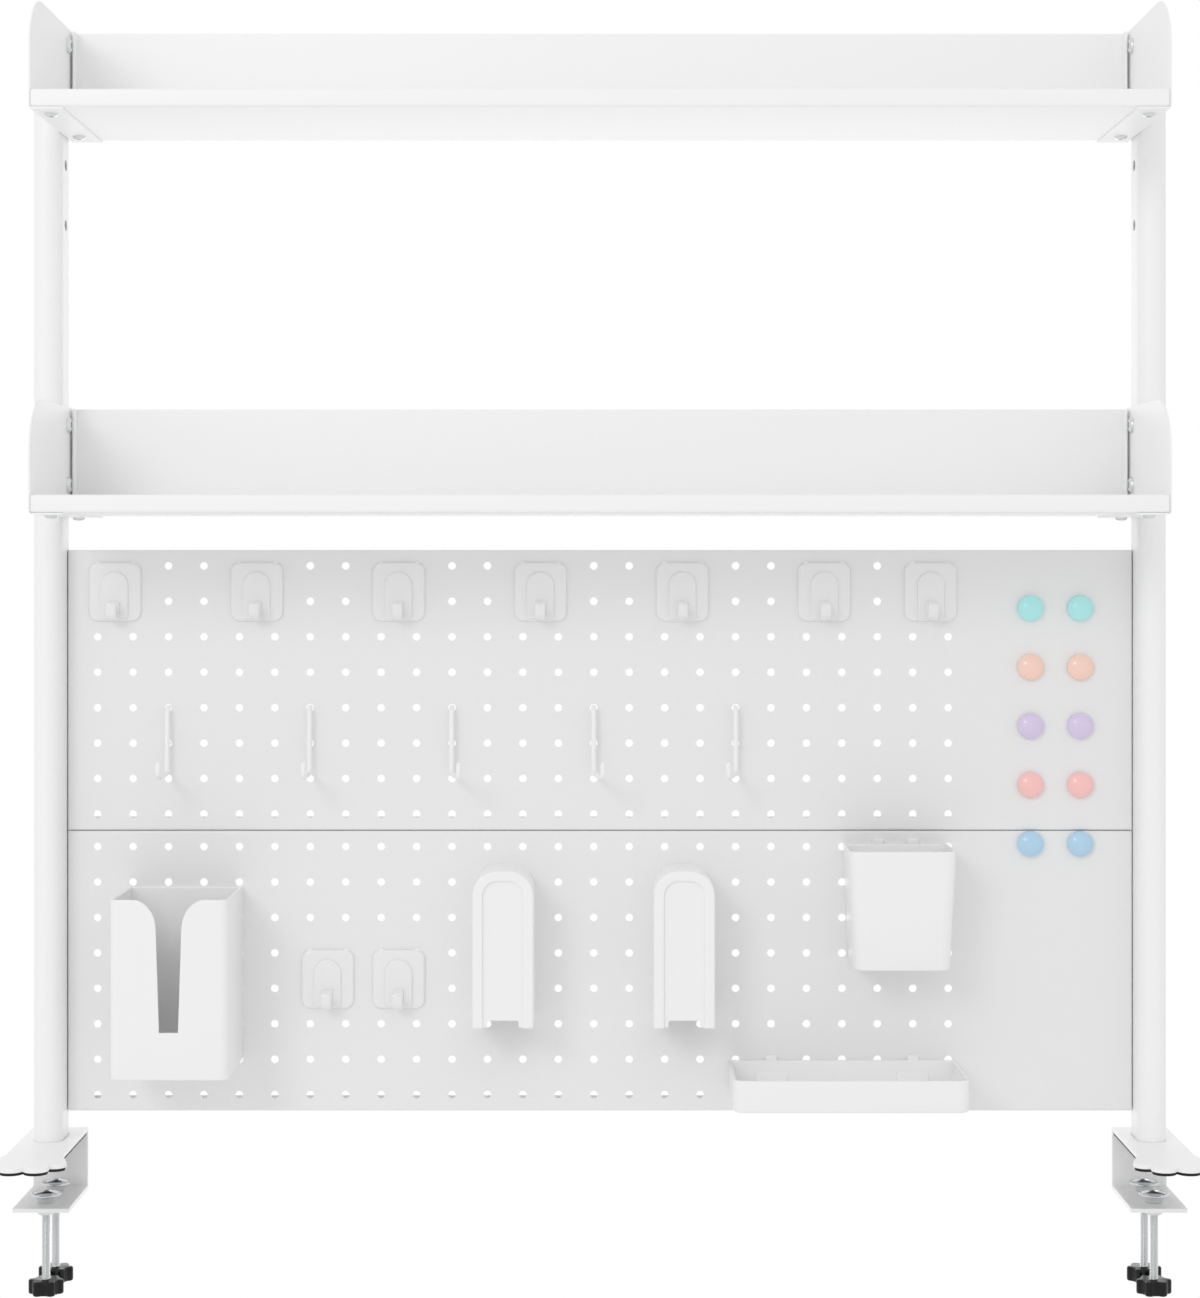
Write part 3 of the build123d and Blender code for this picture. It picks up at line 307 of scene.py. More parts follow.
    shoulder: length("Arch shoulder", "Radius of the arched holders' shoulders", 17.0)


class ShelfColours(PropertyGroup):
    """Colours of the coats, plastics and metals."""

    powder: colour("Powder coat", "White coat on posts, shelves and clamps", "#F9F9F9")
    # The pegboards' coat is the frame's white powder coat made greyer: painted shade
    board: colour("Board coat", "Slightly greyer white coat on the pegboards", "#EFEFEF")
    plastic: colour("Moulded white", "White of the moulded holders", "#F7F7F7")
    hooks: colour("Hook plates", "Milky white of the plate hooks", "#F2F1F1")
    zinc: colour("Zinc", "Bright plating of the screws and feet", "#E3E5E6")
    rubber: colour("Rubber", "Black of the clamp pads", "#161616")
    knob: colour("Knob", "Black of the clamp knobs", "#050505")
    mint: colour("Mint", "Top pair of magnets", "#B3F2F1")
    peach: colour("Peach", "Second pair of magnets", "#FFD8C7")
    lilac: colour("Lilac", "Third pair of magnets", "#DED0ED")
    coral: colour("Coral", "Fourth pair of magnets", "#FFC9C6")
    blue: colour("Blue", "Lowest pair of magnets", "#B6D9F1")


def sizes():
    """The scene's sizes, in millimetres."""
    group = bpy.context.scene.desk_shelf_sizes
    return SimpleNamespace(**{key: getattr(group, key) / MM for key in ShelfSizes.__annotations__})


# Finishes


def add_node(tree, kind, links=None, **settings):
    """Adds one node with its settings; links gives sockets their source socket or value."""
    node = tree.nodes.new(kind)
    for name, value in settings.items():
        setattr(node, name, value)
    for socket, source in (links or {}).items():
        if isinstance(source, bpy.types.NodeSocket):
            tree.links.new(source, node.inputs[socket])
        else:
            node.inputs[socket].default_value = source
    return node


def new_finish(name, sockets, grain, relief):
    """Material with one shader, whose uniform values are the sockets, and a fine relief on the
    whole piece: noise whose grain has that size, raised by that height, both in millimetres."""
    material = bpy.data.materials.new(name)
    material.use_nodes = True
    tree = material.node_tree
    tree.nodes.clear()
    place = add_node(tree, "ShaderNodeTexCoord")
    noise = add_node(
        tree,
        "ShaderNodeTexNoise",
        {"Vector": place.outputs["Object"], "Scale": 1.0 / (grain * MM), "Detail": 2.0},
    )
    raised = {"Height": noise.outputs["Fac"], "Strength": 1.0, "Distance": relief * MM}
    bump = add_node(tree, "ShaderNodeBump", raised)
    sockets = {**sockets, "Normal": bump.outputs["Normal"]}
    shader = add_node(tree, "ShaderNodeBsdfPrincipled", sockets)
    add_node(tree, "ShaderNodeOutputMaterial", {"Surface": shader.outputs["BSDF"]})
    return material


def powder_coated_steel(name, colours):
    """Powder-coated steel sheet, white, and on the pegboards a copy a shade greyer, which is
    painted shade: sprayed dry and baked, so an even satin with a faint orange peel that only shows
    where a lamp glances off."""
    # The pegboards get a greyer copy of the same coat: painted shade
    coat = colours.board if name == "powder_coated_board_painted_shade" else colours.powder
    sockets = {"Base Color": coat, "Roughness": 0.42, "IOR": 1.5}
    return new_finish(name, sockets, grain=1.6, relief=0.012)


def moulded_abs(name, colours):
    """Injection-moulded ABS in a finely spark-eroded mould: satin, a little softer than the
    coated steel, with an even sheen."""
    sockets = {"Base Color": colours.plastic, "Roughness": 0.36, "IOR": 1.53}
    return new_finish(name, sockets, grain=0.7, relief=0.006)


def milky_polycarbonate(name, colours):
    """Injection-moulded milky polycarbonate from a polished mould: glossy under a thin clear
    layer, and a shade greyer than the coated steel, as a milky plastic is."""
    sockets = {"Base Color": colours.hooks, "Roughness": 0.18, "IOR": 1.58, "Coat Weight": 0.4}
    return new_finish(name, sockets, grain=3.0, relief=0.004)


def zinc_plated_steel(name, colours):
    """Cold-headed and bright zinc-plated steel: a mirror clouded by the plating's fine grain,
    drawn coarser than the real one so that it shows."""
    sockets = {"Base Color": colours.zinc, "Metallic": 1.0, "Roughness": 0.26}
    return new_finish(name, sockets, grain=1.2, relief=0.008)


def nitrile_rubber(name, colours):
    """Die-cut nitrile rubber sheet: dull black that takes up nearly all light."""
    sockets = {"Base Color": colours.rubber, "Roughness": 0.78, "IOR": 1.52}
    return new_finish(name, sockets, grain=0.9, relief=0.02)


def moulded_nylon(name, colours):
    """Glass-filled nylon, injection moulded: black with a broad soft shine on the lobes."""
    sockets = {"Base Color": colours.knob, "Roughness": 0.28, "IOR": 1.53}
    sockets["Specular IOR Level"] = 0.3
    return new_finish(name, sockets, grain=0.8, relief=0.01)


def magnet_cap(name, colours):
    """Moulded ABS cap from a polished mould: pastel, with a small sharp highlight on its dome."""
    pastel = getattr(colours, name.removeprefix("magnet_cap_"))
    sockets = {"Base Color": pastel, "Roughness": 0.24, "IOR": 1.53}
    sockets |= {"Coat Weight": 0.25, "Coat Roughness": 0.08}
    return new_finish(name, sockets, grain=2.5, relief=0.004)


# Every finish with its maker and the frame's slot for it
FINISHES = {
    "powder_coated_steel": (powder_coated_steel, "white_steel"),
    # Greyer copy of the steel's coat for the pegboards: painted shade
    "powder_coated_board_painted_shade": (powder_coated_steel, "white_steel"),
    "moulded_abs": (moulded_abs, "white_plastic"),
    "milky_polycarbonate": (milky_polycarbonate, "hook_plastic"),
    "zinc_plated_steel": (zinc_plated_steel, "zinc_steel"),
    "nitrile_rubber": (nitrile_rubber, "pad_rubber"),
    "moulded_nylon": (moulded_nylon, "knob_plastic"),
    **{f"magnet_cap_{name}": (magnet_cap, f"{name}_plastic") for name in MAGNET_COLOURS},
}


def finish(name):
    """The material of that name, made when it is first asked for."""
    maker, _ = FINISHES[name]
    colours = bpy.context.scene.desk_shelf_colours
    return bpy.data.materials.get(name) or maker(name, colours)


# Surfaces


def points(x, y, z):
    """Grid of points from coordinates whose shapes fit one another."""
    return np.stack(np.broadcast_arrays(x, y, z), -1)


class Skin:
    """Patches of a surface, gathered as arrays of points and faces and made one mesh at the end."""

    def __init__(self):
        self.points = []
        self.faces = []
        self.count = 0

    def add(self, grid, faces):
        """Takes a grid of points of any shape, and faces that index them."""
        flat = np.asarray(grid, float).reshape(-1, 3)
        self.points.append(flat)
        self.faces.append(np.asarray(faces) + self.count)
        self.count += len(flat)

    def grid(self, grid, wrap=False, keep=None):
        """Quads between neighbours of a grid of points; wrap joins the last column to the first.
        keep marks the quads that are made."""
        rows, columns = grid.shape[:2]
        i = np.arange(rows - 1)[:, None] * columns
        j = np.arange(columns if wrap else columns - 1)[None, :]
        following = (j + 1) % columns
        quads = np.stack([i + j, i + following, i + columns + following, i + columns + j], -1)
        self.add(grid, quads[keep] if keep is not None else quads.reshape(-1, 4))

    def rings(self, grid):
        """Quads between the closed rings of many like cells. The grid counts cells, then rings,
        rays and coordinates."""
        cells, rings, rays = grid.shape[:3]
        i = (np.arange(cells)[:, None, None] * rings + np.arange(rings - 1)[None, :, None]) * rays
        j = np.arange(rays)[None, None, :]
        following = (j + 1) % rays
        quads = [i + j, i + following, i + rays + following, i + rays + j]
        self.add(grid, np.stack(quads, -1).reshape(-1, 4))

    def cap(self, loop):
        """One flat face inside a closed loop of points."""
        self.add(loop, np.arange(len(loop))[None, :])

    def body(self, loops):
        """Closed loops joined one after the other, with a flat face in the first and last."""
        self.grid(loops, wrap=True)
        self.cap(loops[0])
        self.cap(loops[-1])


def put(name, data, place=(0.0, 0.0, 0.0)):
    """Object with that data, linked to the scene at a place in metres."""
    made = bpy.data.objects.new(name, data)
    made.location = place
    bpy.context.scene.collection.objects.link(made)
    return made


def piece(name, skin, coat, node, body="frame", crease=35.0, bevel=0.0):
    """Makes the mesh, closes its seams, turns its faces outwards, and ties it to the frame: it
    rides on the body and takes the place of the CAD node, which it hides."""
    mesh = bpy.data.meshes.new(name)
    faces = [face for patch in skin.faces for face in patch.tolist()]
    mesh.from_pydata((np.concatenate(skin.points) * MM).tolist(), [], faces)
    work = bmesh.new()
    work.from_mesh(mesh)
    bmesh.ops.remove_doubles(work, verts=work.verts, dist=SEAM * MM)
    bmesh.ops.recalc_face_normals(work, faces=work.faces)
    work.to_mesh(mesh)
    work.free()
    mesh.polygons.foreach_set("use_smooth", np.ones(len(mesh.polygons), bool))
    mesh.set_sharp_from_angle(angle=math.radians(crease))
    mesh.materials.append(finish(coat))
    made = put(name, mesh)
    if bevel:
        rounding = made.modifiers.new("rounded edges", "BEVEL")
        rounding.width = bevel * MM
        rounding.segments = 2
        rounding.limit_method = "ANGLE"
        rounding.angle_limit = math.radians(crease)
    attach(made, body)
    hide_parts(node)


def full_turn(count):
    """Equal turns round a circle."""
    return np.arange(count) * 2 * np.pi / count


def rays_at(turn):
    """Unit vectors at those turns."""
    return np.stack([np.cos(turn), np.sin(turn)], 1)


def arc(centre, radius, start, end, steps=6):
    """Points of a circle's arc, from start to end in degrees."""
    return centre + radius * rays_at(np.radians(np.linspace(start, end, steps + 1)))


def mirrored(path):
    """Path that goes on with its own mirror image, last point first."""
    return np.concatenate([path, path[::-1] * (-1, 1)])


def cut_corner(before, here, after, radius, steps):
    """Arc in place of the corner here, in the plane or in space, that touches both its sides."""
    if radius <= 0:
        return here[None]
    back, ahead = ((end - here) / np.linalg.norm(end - here) for end in (before, after))
    half = math.acos(np.clip(back @ ahead, -1, 1)) / 2
    bisector = (back + ahead) / np.linalg.norm(back + ahead)
    centre = here + bisector * radius / math.sin(half)
    first, last = (here + way * radius / math.tan(half) - centre for way in (back, ahead))
    sweep = math.pi - 2 * half
    share = np.linspace(0, sweep, steps + 1)[:, None]
    return centre + (np.sin(sweep - share) * first + np.sin(share) * last) / math.sin(sweep)


def rounded_outline(corners, radii, steps=6):
    """Closed outline through the corners, each cut by an arc of its radius."""
    corners = np.asarray(corners, float)
    radii = np.broadcast_to(radii, len(corners))
    places = zip(np.roll(corners, 1, 0), corners, np.roll(corners, -1, 0), radii)
    return np.concatenate([cut_corner(*place, steps) for place in places])


def rounded_path(corners, radius, steps=6):
    """Open path through the corners, each cut by an arc."""
    corners = np.asarray(corners, float)
    places = zip(corners, corners[1:], corners[2:])
    bends = [cut_corner(*place, radius, steps) for place in places]
    return np.concatenate([corners[:1], *bends, corners[-1:]])


def rectangle(x0, y0, x1, y1):
    """Corners of an upright rectangle, from its lowest one round to the left."""
    return np.array([(x0, y0), (x1, y0), (x1, y1), (x0, y1)], float)


def round_section(radius):
    """Circle of twelve points, the section of a wire or peg."""
    return arc((0, 0), radius, 0, 345, 11)


def inset(outline, distance):
    """Closed outline, counter-clockwise, drawn in by a distance: each point moves along the
    inward bisector of its two edges, by more where they meet at a sharp angle."""
    ahead = np.roll(outline, -1, 0) - outline
    ahead /= np.maximum(np.linalg.norm(ahead, axis=1, keepdims=True), TINY)
    inward = np.stack([-ahead[:, 1], ahead[:, 0]], 1)
    both = inward + np.roll(inward, 1, 0)
    both /= np.maximum((both * inward).sum(1, keepdims=True), MITRE_LIMIT)
    return outline + both * distance


def foot_rim(low, radius, steps=3):
    """Heights and insets of a slab's lower rim, a quarter circle of that radius."""
    turn = np.linspace(0, np.pi / 2, steps + 1)
    return (low, 0) + radius * (1 - rays_at(turn))


def top_rim(high, radius, steps=3):
    """Heights and insets of a slab's upper rim."""
    return (high, 0) + foot_rim(0, radius, steps)[::-1] * (-1, 1)


def rim_levels(low, high, radius):
    """Heights and insets of a slab with two such rims."""
    return np.concatenate([foot_rim(low, radius), top_rim(high, radius)])


def slab(skin, outline, levels, place):
    """Closed plate: the outline repeated at every level's height, drawn in by its inset."""
    ahead = np.roll(outline, -1, 0)
    if (outline[:, 0] * ahead[:, 1] - ahead[:, 0] * outline[:, 1]).sum() < 0:
        outline = outline[::-1]
    loops = []
    for height, drawn in levels:
        flat = inset(outline, drawn) if drawn else outline
        loops.append(place(*flat.T, height))
    skin.body(np.stack(loops))


def rings_round(place, radius, height, count):
    """Rings of points at equal turns round an axis, each with its radius and height."""
    across, up = rays_at(full_turn(count)).T
    return place(radius * across, radius * up, height)


def turned(skin, profile, place, count=32):
    """Surface of revolution: a profile of (radius, height) points carried round the axis."""
    skin.grid(rings_round(place, profile[:, :1], profile[:, 1:], count), wrap=True)


def carried(skin, section, path, share):
    """Section of (across, up) points carried along a smooth path, with closed ends: across lies
    along the board, up is square to both the path and it, and share narrows the section."""
    ahead = np.gradient(path, axis=0)
    ahead /= np.linalg.norm(ahead, axis=1, keepdims=True)
    up = np.cross(ahead, (1, 0, 0))
    up /= np.linalg.norm(up, axis=1, keepdims=True)
    across, up = (way[:, None] * share[:, None, None] for way in (np.cross(up, ahead), up))
    skin.body(path[:, None] + across * section[None, :, :1] + up * section[None, :, 1:])


def round_tip(path, radius, steps=4):
    """Path whose end becomes a half ball of that radius, and the share of its section's size."""
    way = path[-1] - path[-2]
    way /= np.linalg.norm(way)
    # It ends just before the pole, where the section would shrink to a point
    turn = np.linspace(0, TIP_SHARE * np.pi / 2, steps + 1)[:, None]
    tip = path[-1] - way * radius * (1 - np.sin(turn))
    share = np.concatenate([np.ones(len(path) - 1), np.cos(turn[:, 0])])
    return np.concatenate([path[:-1], tip]), share


def punched_sheet(skin, place, u_ends, v_ends, u_holes, v_holes, half, radius, thickness):
    """Flat sheet with round holes in columns and rows, on a grid of lines: its edges, and five
    through each hole's square cell of that half side. A cell is cut into rays: its rings run
    from its edge to the circle, through the sheet, and out again behind. The rest is plain
    quads. Returns the grid's lines."""
    ray = half * math.tan(math.pi / 8)
    cell = np.array([-half, -ray, 0, ray, half])
    lines, inside = [], []
    for ends, holes in ((u_ends, u_holes), (v_ends, v_holes)):
        row = np.concatenate([ends, (np.asarray(holes)[:, None] + cell).ravel()])
        row = np.unique(np.round(row, 4))
        lines.append(row)
        inside.append((np.abs((row[1:] + row[:-1])[:, None] / 2 - holes) < half).any(1))
    u, v = np.meshgrid(*lines, indexing="ij")
    for depth in (0.0, thickness):
        skin.grid(place(u, v, -depth), keep=~np.logical_and.outer(*inside))
    ray = rays_at(full_turn(RAYS_PER_HOLE))
    edge = ray / np.abs(ray).max(1, keepdims=True) * half
    rings = np.stack([edge, ray * radius, ray * radius, edge])
    depth = np.array([0, 0, thickness, thickness])[:, None]
    hole_u, hole_v = (axis.ravel()[:, None, None] for axis in np.meshgrid(u_holes, v_holes))
    skin.rings(place(hole_u + rings[..., 0], hole_v + rings[..., 1], -depth))
    return lines


def edge_walk(u_lines, v_lines):
    """Points round a grid's edge and, for each, the way out of the grid, both ways at a corner."""
    low, high = (u_lines[0], v_lines[0]), (u_lines[-1], v_lines[-1])
    sides = (
        (u_lines[:-1], low[1]),
        (high[0], v_lines[:-1]),
        (u_lines[:0:-1], high[1]),
        (low[0], v_lines[:0:-1]),
    )
    walk = np.concatenate([np.stack(np.broadcast_arrays(*side), 1) for side in sides])
    return walk, (walk == high) * 1.0 - (walk == low)


def far_side(rays, centre, radius):
    """How far each ray from the origin goes to leave a disc; nothing where it misses it."""
    along = rays @ np.asarray(centre, float)
    left = along**2 - (np.dot(centre, centre) - radius**2)
    return np.where(left >= 0, along + np.sqrt(np.maximum(left, 0)), 0.0)


# Places: functions that put outlines and their heights into the object


def upright(x, y, z=0.0):
    """Around a vertical axis; height is the way up."""
    return lambda u, v, h: points(x + u, y + v, z + h)


def downwards(x, y, z):
    """On an underside; height is the way down."""
    return lambda u, v, h: points(x + u, y - v, z - h)


def on_board(x, z):
    """On the pegboards' face; height is the way to the front."""
    return lambda u, v, h: points(x + u, BOARD_FACE - h, z + v)


def on_post(side, y=0.0, z=0.0, lift=0.0):
    """On a post's inner side or lifted off it; height is the way to the middle."""
    low, high = node_box(f"{side}_post")
    sign = SIDES[side]
    x = (high[0] if sign < 0 else low[0]) - sign * lift
    return lambda u, v, h: points(x - sign * h, y + u, z + v)


def lengthwise(x):
    """Square to the board's length; height is the way to the right."""
    return lambda u, v, h: points(x + h, u, v)


def column_x(column):
    """Place across the board of a column of peg holes."""
    size = sizes()
    left = node_box("upper_pegboard")[0][0]
    return left + size.peg_left + size.peg_pitch * np.asarray(column)


def row_z(level, row):
    """Height of a row of peg holes, counted down from its board's top edge."""
    size = sizes()
    top = node_box(f"{level}_pegboard")[1][2]
    return top - size.peg_top - size.peg_pitch * np.asarray(row)


def shelf_top(level):
    """Height of a shelf's upper face."""
    return node_box(f"{level}_shelf")[0][2] + sizes().shelf


def add_pegs(skin, columns, rows, level="lower"):
    """Short round pegs behind a holder, one in each hole of the columns and rows."""
    size = sizes()
    end = -size.peg_length
    for x in column_x(columns):
        for z in row_z(level, rows):
            levels = [(end, PEG_ROUND), (end + PEG_ROUND, 0), (OVERLAP, 0)]
            slab(skin, round_section(size.peg / 2), levels, on_board(x, z))


# Frame and what hangs on it


class DESKSHELF_OT_pegboards(Operator):
    """Builds both pegboards: punched faces with folded flanges and lips"""

    bl_idname = "deskshelf.pegboards"
    bl_label = "Pegboards"

    def execute(self, context):
        """The flange is one profile carried round the punched face's edge: bend, flange, bend,
        lip and back again at the sheet's thickness, mitred at the corners."""
        size = sizes()
        sheet, bend, depth = size.sheet, size.board_bend, size.board_depth
        tip, edge = bend - size.board_lip, bend + size.board_gap
        profile = np.concatenate(
            [
                arc((0, bend), bend, -90, 0),
                arc((0, depth - bend), bend, 0, 90),
                [(tip, depth), (tip, depth - sheet)],
                arc((0, depth - bend), bend - sheet, 90, 0),
                arc((0, bend), bend - sheet, 0, -90),
            ]
        )
        for level in LEVELS:
            low, high = node_box(f"{level}_pegboard")
            x_ends, z_ends = (low[0] + edge, high[0] - edge), (low[2] + bend, high[2] - bend)
            holes = column_x(range(COLUMNS)), row_z(level, range(ROWS))
            cell = z_ends[1] - holes[1][0] - BOARD_CELL_GAP
            radius, face = size.peg_hole / 2, on_board(0, 0)
            skin = Skin()
            lines = punched_sheet(skin, face, x_ends, z_ends, *holes, cell, radius, sheet)
            walk, ways = edge_walk(*lines)
            reach = profile[:, :1]
            loop = walk[None] + ways[None] * reach[..., None]
            across, up = (
                np.clip(loop[..., axis], row[0] - reach, row[-1] + reach)
                for axis, row in enumerate(lines)
            )
            skin.grid(face(across, up, -profile[:, 1:]), wrap=True)
            piece(f"{level}_board", skin, "powder_coated_board_painted_shade", f"{level}_pegboard")
        return {"FINISHED"}


class DESKSHELF_OT_posts(Operator):
    """Builds the flat oval posts with their spare holes, and the caps on top"""

    bl_idname = "deskshelf.posts"
    bl_label = "Posts and caps"

    def execute(self, context):
        """The tube is two walls, each one path round the oval's far side carried up, and a
        punched strip that closes both on the inner side."""
        size = sizes()
        sheet = size.sheet
        holes = shelf_top("upper") + size.bolt_rise - size.bolt_pitch * np.array([1.0, 2.0])
        cap_top = node_box("post_caps")[1][2]
        caps = Skin()
        for side in SIDES:
            low, high = node_box(f"{side}_post")
            radius = (high[0] - low[0]) / 2
            ends = low[1] + radius, high[1] - radius
            strip = (ends, (low[2], high[2]), [sum(ends) / 2], holes, radius - POST_CELL_GAP)
            place = on_post(side)
            skin = Skin()
            y_lines, z_lines = punched_sheet(skin, place, *strip, size.spare_hole / 2, sheet)
            walls = []
            for thickness in (0.0, sheet):
                back = arc((radius, ends[1]), radius - thickness, 180, 0, OVAL_STEPS)
                front = arc((radius, ends[0]), radius - thickness, 0, -180, OVAL_STEPS)
                walls.append(np.concatenate([back, front]))
                skin.grid(place(walls[-1][:, 1:], z_lines[None], -walls[-1][:, :1]))
            flat = [np.stack([y_lines * 0 + depth, y_lines], 1) for depth in (0.0, sheet)]
            for z in (low[2], high[2]):
                for both in (np.stack(walls), np.stack(flat)):
                    skin.grid(place(both[..., 1], z, -both[..., 0]))
            piece(f"{side}_tube", skin, "powder_coated_steel", f"{side}_post")
            back, front = (arc((0, y), radius, 0, 180, OVAL_STEPS) for y in (ends[1], -ends[0]))
            oval = np.concatenate([back, -front])
            x = (low[0] + high[0]) / 2
            slab(caps, oval, rim_levels(high[2], cap_top, CAP_ROUND), upright(x, 0))
        piece("caps", caps, "moulded_abs", "post_caps")
        return {"FINISHED"}


class DESKSHELF_OT_shelves(Operator):
    """Builds the hollow folded shelves with their backstops"""

    bl_idname = "deskshelf.shelves"
    bl_label = "Shelves"

    def execute(self, context):
        """The panel is a hollow section, a rounded rectangle inside another, carried across;
        the backstop is a thin plate on its back edge, with a narrow edge folded forwards at
        each end."""
        size = sizes()
        sheet, bend, gap = size.sheet, size.bend, size.backstop_gap
        for level in LEVELS:
            low, high = node_box(f"{level}_shelf")
            top = shelf_top(level)
            across = np.array([[low[0]], [high[0]]])
            skin = Skin()
            walls = []
            for depth in (0.0, sheet):
                inner = bend - depth
                corners = rectangle(low[1] + depth, low[2] + depth, high[1] - depth, top - depth)
                section = rounded_outline(corners, [inner, inner, TURN_UP_ROUND, inner])
                walls.append(points(across, *section.T))
                skin.grid(walls[-1], wrap=True)
            for end in (0, 1):
                skin.grid(np.stack([wall[end] for wall in walls]), wrap=True)
            plate = rectangle(low[0] + gap, top - sheet, high[0] - gap, high[2])
            plate = rounded_outline(plate, BACKSTOP_CORNERS)
            levels = rim_levels(high[1] - sheet, high[1], BACKSTOP_ROUND)
            slab(skin, plate, levels, lambda u, v, h: points(u, h, v))
            hem = rectangle(high[1] - size.hem, top, high[1] - sheet / 2, high[2] - OVERLAP)
            hem = rounded_outline(hem, HEM_ROUND)
            for start in (low[0] + size.hem_gap, high[0] - size.hem_gap - sheet):
                slab(skin, hem, rim_levels(0, sheet, HEM_ROUND), lengthwise(start))
            piece(f"{level}_panel", skin, "powder_coated_steel", f"{level}_shelf")
        return {"FINISHED"}


class DESKSHELF_OT_end_panels(Operator):
    """Builds the four end panels with their curved front corners and flanges"""

    bl_idname = "deskshelf.end_panels"
    bl_label = "End panels"

    def execute(self, context):
        """The bent sheet's section, flange, bend and side with a rounded top, is carried from
        front to back, while its top follows a quarter ellipse and then a straight line."""
        size = sizes()
        sheet, bend = size.sheet, size.bend
        turn = np.linspace(0, np.pi / 2, CURVE_POINTS)
        for level in LEVELS:
            for side, sign in SIDES.items():
                node = f"{level}_{side}_end_panel"
                low, high = node_box(node)
                front = shelf_top(level) + size.end_front
                y = np.append(low[1] + size.end_curve * (1 - np.cos(turn)), high[1])
                top = np.append(front + (high[2] - front) * np.sin(turn), high[2])
                width = high[0] - low[0]
                section = [
                    np.array([(width, 0)]),
                    arc((bend, bend), bend, -90, -180),
                    arc((sheet / 2, -sheet / 2), sheet / 2, 180, 0),
                    arc((bend, bend), bend - sheet, 180, 270),
                    np.array([(width, sheet)]),
                ]
                # Only the rounded top, the third run, follows the curve
                moves = np.concatenate([np.full(len(run), i == 2) for i, run in enumerate(section)])
                section = np.concatenate(section)
                z = low[2] + section[:, 1] + moves * (top[:, None] - low[2])
                x = (low[0] if sign < 0 else high[0]) - sign * section[:, 0]
                skin = Skin()
                skin.body(points(x, y[:, None], z))
                piece(f"{level}_{side}_end", skin, "powder_coated_steel", node)
        return {"FINISHED"}


def plate_outline(rear_y, rear_x, reach):
    """Outline of the clamp plate, seen from above, around the slot's middle, in two runs. The
    rear edge has a point at each of rear_x. Each ray from the middle ends where it leaves the
    last of these: the tapering strip and four round lobes."""
    half = rear_x[-1]
    lobes = [(np.array([x, y - reach]), radius) for x, y, radius in PLATE_LOBES]
    hull = [(half, rear_y), (half, PLATE_TAPER - reach), lobes[1][0], lobes[0][0]]
    hull = mirrored(np.array(hull))
    corner = math.atan2(rear_y, half)
    # Rays stand close together over the lobed front, and wider apart along both sides
    front = np.linspace(-FRONT_TURN, FRONT_TURN, FRONT_RAYS) - math.pi / 2
    right = np.linspace(corner, front[-1], SIDE_RAYS)
    left = np.linspace(front[0], -math.pi - corner, SIDE_RAYS)
    turn = np.concatenate([right[1:-1], front[::-1], left[1:-1]])
    rays = rays_at(turn)
    edge = np.roll(hull, -1, 0) - hull
    normal = np.stack([-edge[:, 1], edge[:, 0]], 1)
    facing = rays @ normal.T
    distance = np.where(facing > TINY, (hull * normal).sum(1) / np.maximum(facing, TINY), np.inf)
    reached = distance.min(1)
    for centre, radius in lobes:
        for mirror in (1, -1):
            reached = np.maximum(reached, far_side(rays, centre * (mirror, 1), radius))
    return np.stack([rear_x, np.full(len(rear_x), rear_y)], 1), rays * reached[:, None]


def slot_outline(outer, radius, half_length):
    """Flat oval slot, one point in the direction of each point of the outline around it."""
    rays = outer / np.linalg.norm(outer, axis=1, keepdims=True)
    across = radius / np.maximum(np.abs(rays[:, 0]), TINY)
    reached = np.where(np.abs(rays[:, 1]) * across <= half_length, across, 0)
    for centre in ((0, half_length), (0, -half_length)):
        reached = np.maximum(reached, far_side(rays, centre, radius))
    return rays * reached[:, None]


